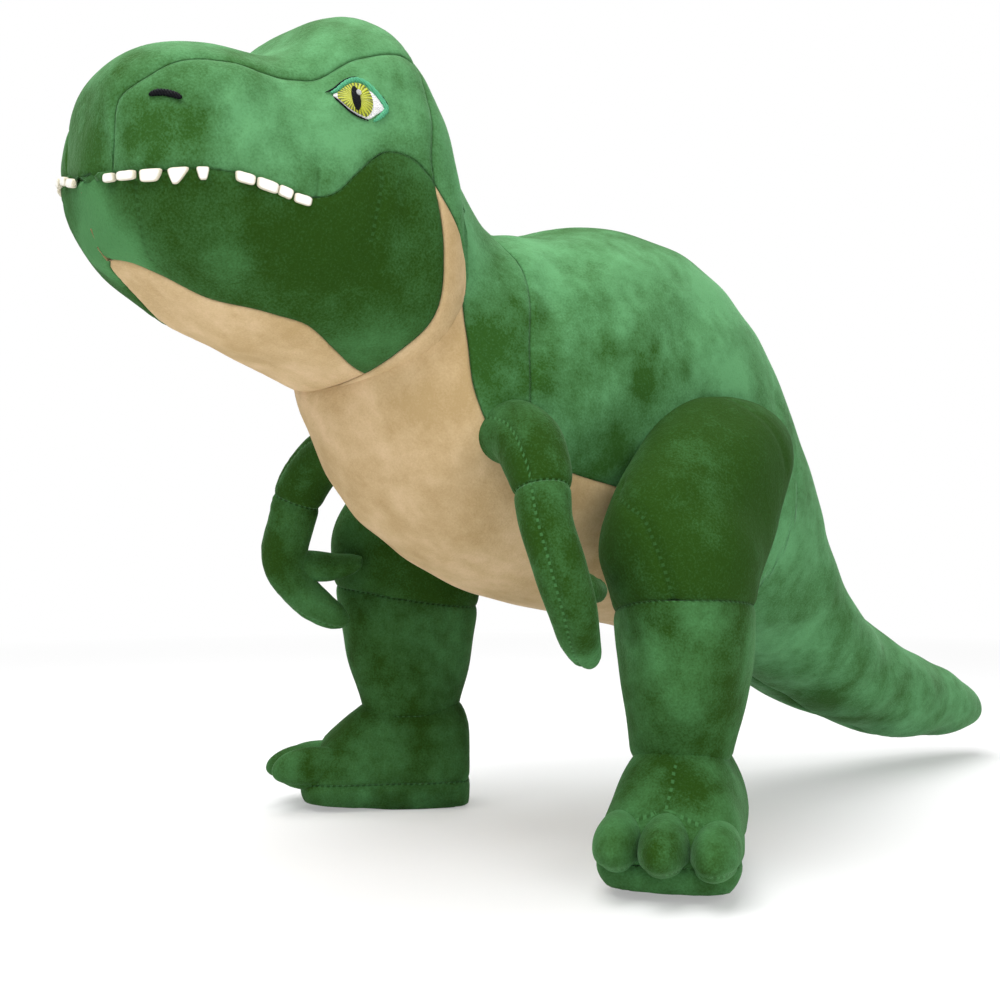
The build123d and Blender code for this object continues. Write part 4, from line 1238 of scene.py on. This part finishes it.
class DINO_OT_insides(PieceOperator, bpy.types.Operator):
    """Fillings inside the skins; boards and pouches keep their solids."""
    bl_idname, bl_label = "dino.insides", "Insides"

    def make(self, scene):
        for name, body, rings, by in WOOL:
            self.fill(name, body, self.grid(RingSkin(self.shrunk(rings, by))), True)
        leg = ColumnSkin(LEG_RINGS[1:13] - np.array((0, 0, 0, 5, 5, 0)))
        arms = [hung(ARM_PATH, ARM_SHIFT, side)[3:8] - np.array((0, 0, 0, 4)) for side in SIDES]
        for limb, skins in (("leg", (leg, leg)), ("arm", [TubeSkin(arm, (0, 1, 0)) for arm in arms])):
            for side, skin in zip(SIDES, skins):
                points = self.grid(skin)
                shape = points if side == "left" else mirrored(points)
                self.fill(f"{side}_{limb}", f"{side}_{limb}", shape, side == "left")
        for side in SIDES:
            for node, slot in (("insole_board", "stiffener"), ("pellet_pouch", "pellets")):
                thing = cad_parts[f"{side}_{node}"]
                thing.data.materials.clear()
                thing.data.materials.append(cloth(slot))

    def fill(self, name, body, points, flip):
        """A lump of filling, named after what it fills."""
        piece = make_grid(name + "_filling_wool", points, flip, {}, 0)
        dress(piece, "fibre_filling", [name + "_filling"], body=body)

    def shrunk(self, rings, by):
        """Rings drawn in by so many mm on every side."""
        up = rings[:, 0:2] - rings[:, 2:4]
        step = up / np.linalg.norm(up, axis=1, keepdims=True) * by
        return np.column_stack([rings[:, 0:2] - step, rings[:, 2:4] + step, rings[:, 4] - by, rings[:, 5]])

    def grid(self, skin):
        """Closed lump: the skin's grid with both ends drawn in to their middles."""
        u, v = np.meshgrid(np.linspace(0, skin.end, 40), np.linspace(0, 1, 49), indexing="ij")
        points = skin(u, v)
        points[:, -1] = points[:, 0]
        first, last = points[0].mean(0), points[-1].mean(0)
        near, far = first + (points[0] - first) * 0.02, last + (points[-1] - last) * 0.02
        return np.concatenate([near[None], points, far[None]])


class DINO_OT_stage(PieceOperator, bpy.types.Operator):
    """Floor, lamps and camera."""
    bl_idname, bl_label = "dino.stage", "Stage"

    def make(self, scene):
        stage = scene.dino_stage
        self.floor()
        camera = bpy.data.cameras.new("camera")
        camera.lens, camera.sensor_width = stage.lens, 36
        camera.shift_y = 0.04
        eye = bpy.data.objects.new("camera", camera)
        eye.location = (0.4210, -0.4437, 0.1204)
        eye.rotation_euler = (math.pi / 2, 0, math.radians(50))
        scene.collection.objects.link(eye)
        scene.camera = eye
        self.lamp("key_light", (0.25, -0.75, 1.25), (0.0, -0.05, 0.14), 0.95, stage.key)
        self.lamp("top_light", (-0.35, 0.15, 1.35), (0.0, -0.02, 0.14), 1.1, stage.key * 0.75)
        self.lamp("fill_light", (1.15, -0.35, 0.5), (0.0, -0.05, 0.12), 0.8, stage.fill)
        scene.view_settings.view_transform = "Standard"
        self.world(scene, stage.room)

    def lamp(self, name, place, aim, size, power):
        """Square soft lamp that faces its aim."""
        light = bpy.data.lights.new(name, "AREA")
        light.energy, light.size = power, size
        lamp = bpy.data.objects.new(name, light)
        lamp.location = place
        step = np.array(aim) - np.array(place)
        lamp.rotation_euler = (math.acos(-step[2] / np.linalg.norm(step)), 0,
                               math.atan2(step[1], step[0]) - math.pi / 2)
        bpy.context.scene.collection.objects.link(lamp)

    def world(self, scene, strength):
        """Even pale light; the camera sees white."""
        f = Finish("room", "worlds")
        seen = f.add("ShaderNodeLightPath", {}, {}, output="Is Camera Ray")
        near = f.add("ShaderNodeBackground", {}, {"Strength": strength})
        back = f.add("ShaderNodeBackground", {}, {"Color": (1, 1, 1, 1)})
        f.add_output(f.add("ShaderNodeMixShader", {}, {0: seen, 1: near, 2: back}), "ShaderNodeOutputWorld")
        scene.world = f.material

    def floor(self):
        """Floor 12 m across whose colour fades to white away from the middle, and keeps the toy's
        shadow."""
        turn = np.linspace(0, 2 * np.pi, 65)
        r = np.array([0.01, 0.2, 0.5, 1.0, 2.0, 6.0])
        points = np.full((r.size, turn.size, 3), -0.05)
        points[..., :2] = r[:, None, None] * np.column_stack([np.cos(turn), np.sin(turn)]) / MM
        points[:, -1] = points[:, 0]
        floor = make_grid("floor", points, False, {}, 0)
        f = Finish("floor")
        tone = f.noise(3, 2, 0.5)
        base = f.mix(tone, (0.90, 0.90, 0.90), (0.93, 0.93, 0.93))
        shader = f.add("ShaderNodeBsdfPrincipled", {},
                       {"Base Color": base, "Roughness": 0.9, "Specular IOR Level": 0.1})
        glow = f.add("ShaderNodeEmission", {}, {"Color": (1, 1, 1, 1), "Strength": 1.0})
        seen = f.add("ShaderNodeLightPath", {}, {}, output="Is Camera Ray")
        place = f.add("ShaderNodeVectorMath", {"operation": "LENGTH"}, {0: f.here()}, output="Value")
        fade = f.ramp(place / 1.2, (0.30, 0.0), (1.0, 1.0))
        mix = f.add("ShaderNodeMixShader", {}, {0: seen * (fade * 0.65 + 0.35), 1: shader, 2: glow})
        f.add_output(mix)
        floor.data.materials.append(f.material)


OPERATORS = (DINO_OT_stage, DINO_OT_head, DINO_OT_body, DINO_OT_legs, DINO_OT_arms, DINO_OT_face,
             DINO_OT_insides)


class DINO_PT_panel(bpy.types.Panel):
    """Buttons for the pieces of the toy."""
    bl_label, bl_idname = "Stuffed dinosaur", "DINO_PT_panel"
    bl_space_type, bl_region_type, bl_category = "VIEW_3D", "UI", "Dinosaur"

    def draw(self, context):
        for operator in OPERATORS:
            self.layout.operator(operator.bl_idname)
        for group in (context.scene.dino_fabric, context.scene.dino_sewing, context.scene.dino_stage):
            box = self.layout.box()
            for key in group.__annotations__:
                box.prop(group, key)


GROUPS = {"dino_fabric": DINO_PG_fabric, "dino_sewing": DINO_PG_sewing, "dino_stage": DINO_PG_stage}


def register():
    for group in GROUPS.values():
        bpy.utils.register_class(group)
    for name, group in GROUPS.items():
        setattr(bpy.types.Scene, name, PointerProperty(type=group))
    for operator in OPERATORS:
        bpy.utils.register_class(operator)
    bpy.utils.register_class(DINO_PT_panel)


def unregister():
    bpy.utils.unregister_class(DINO_PT_panel)
    for operator in reversed(OPERATORS):
        bpy.utils.unregister_class(operator)
    for name, group in GROUPS.items():
        delattr(bpy.types.Scene, name)
        bpy.utils.unregister_class(group)


def main():
    register()
    bpy.ops.dino.stage()
    bpy.ops.dino.head()
    bpy.ops.dino.body()
    bpy.ops.dino.legs()
    bpy.ops.dino.arms()
    bpy.ops.dino.face()
    bpy.ops.dino.insides()


if __name__ == "__main__":
    main()
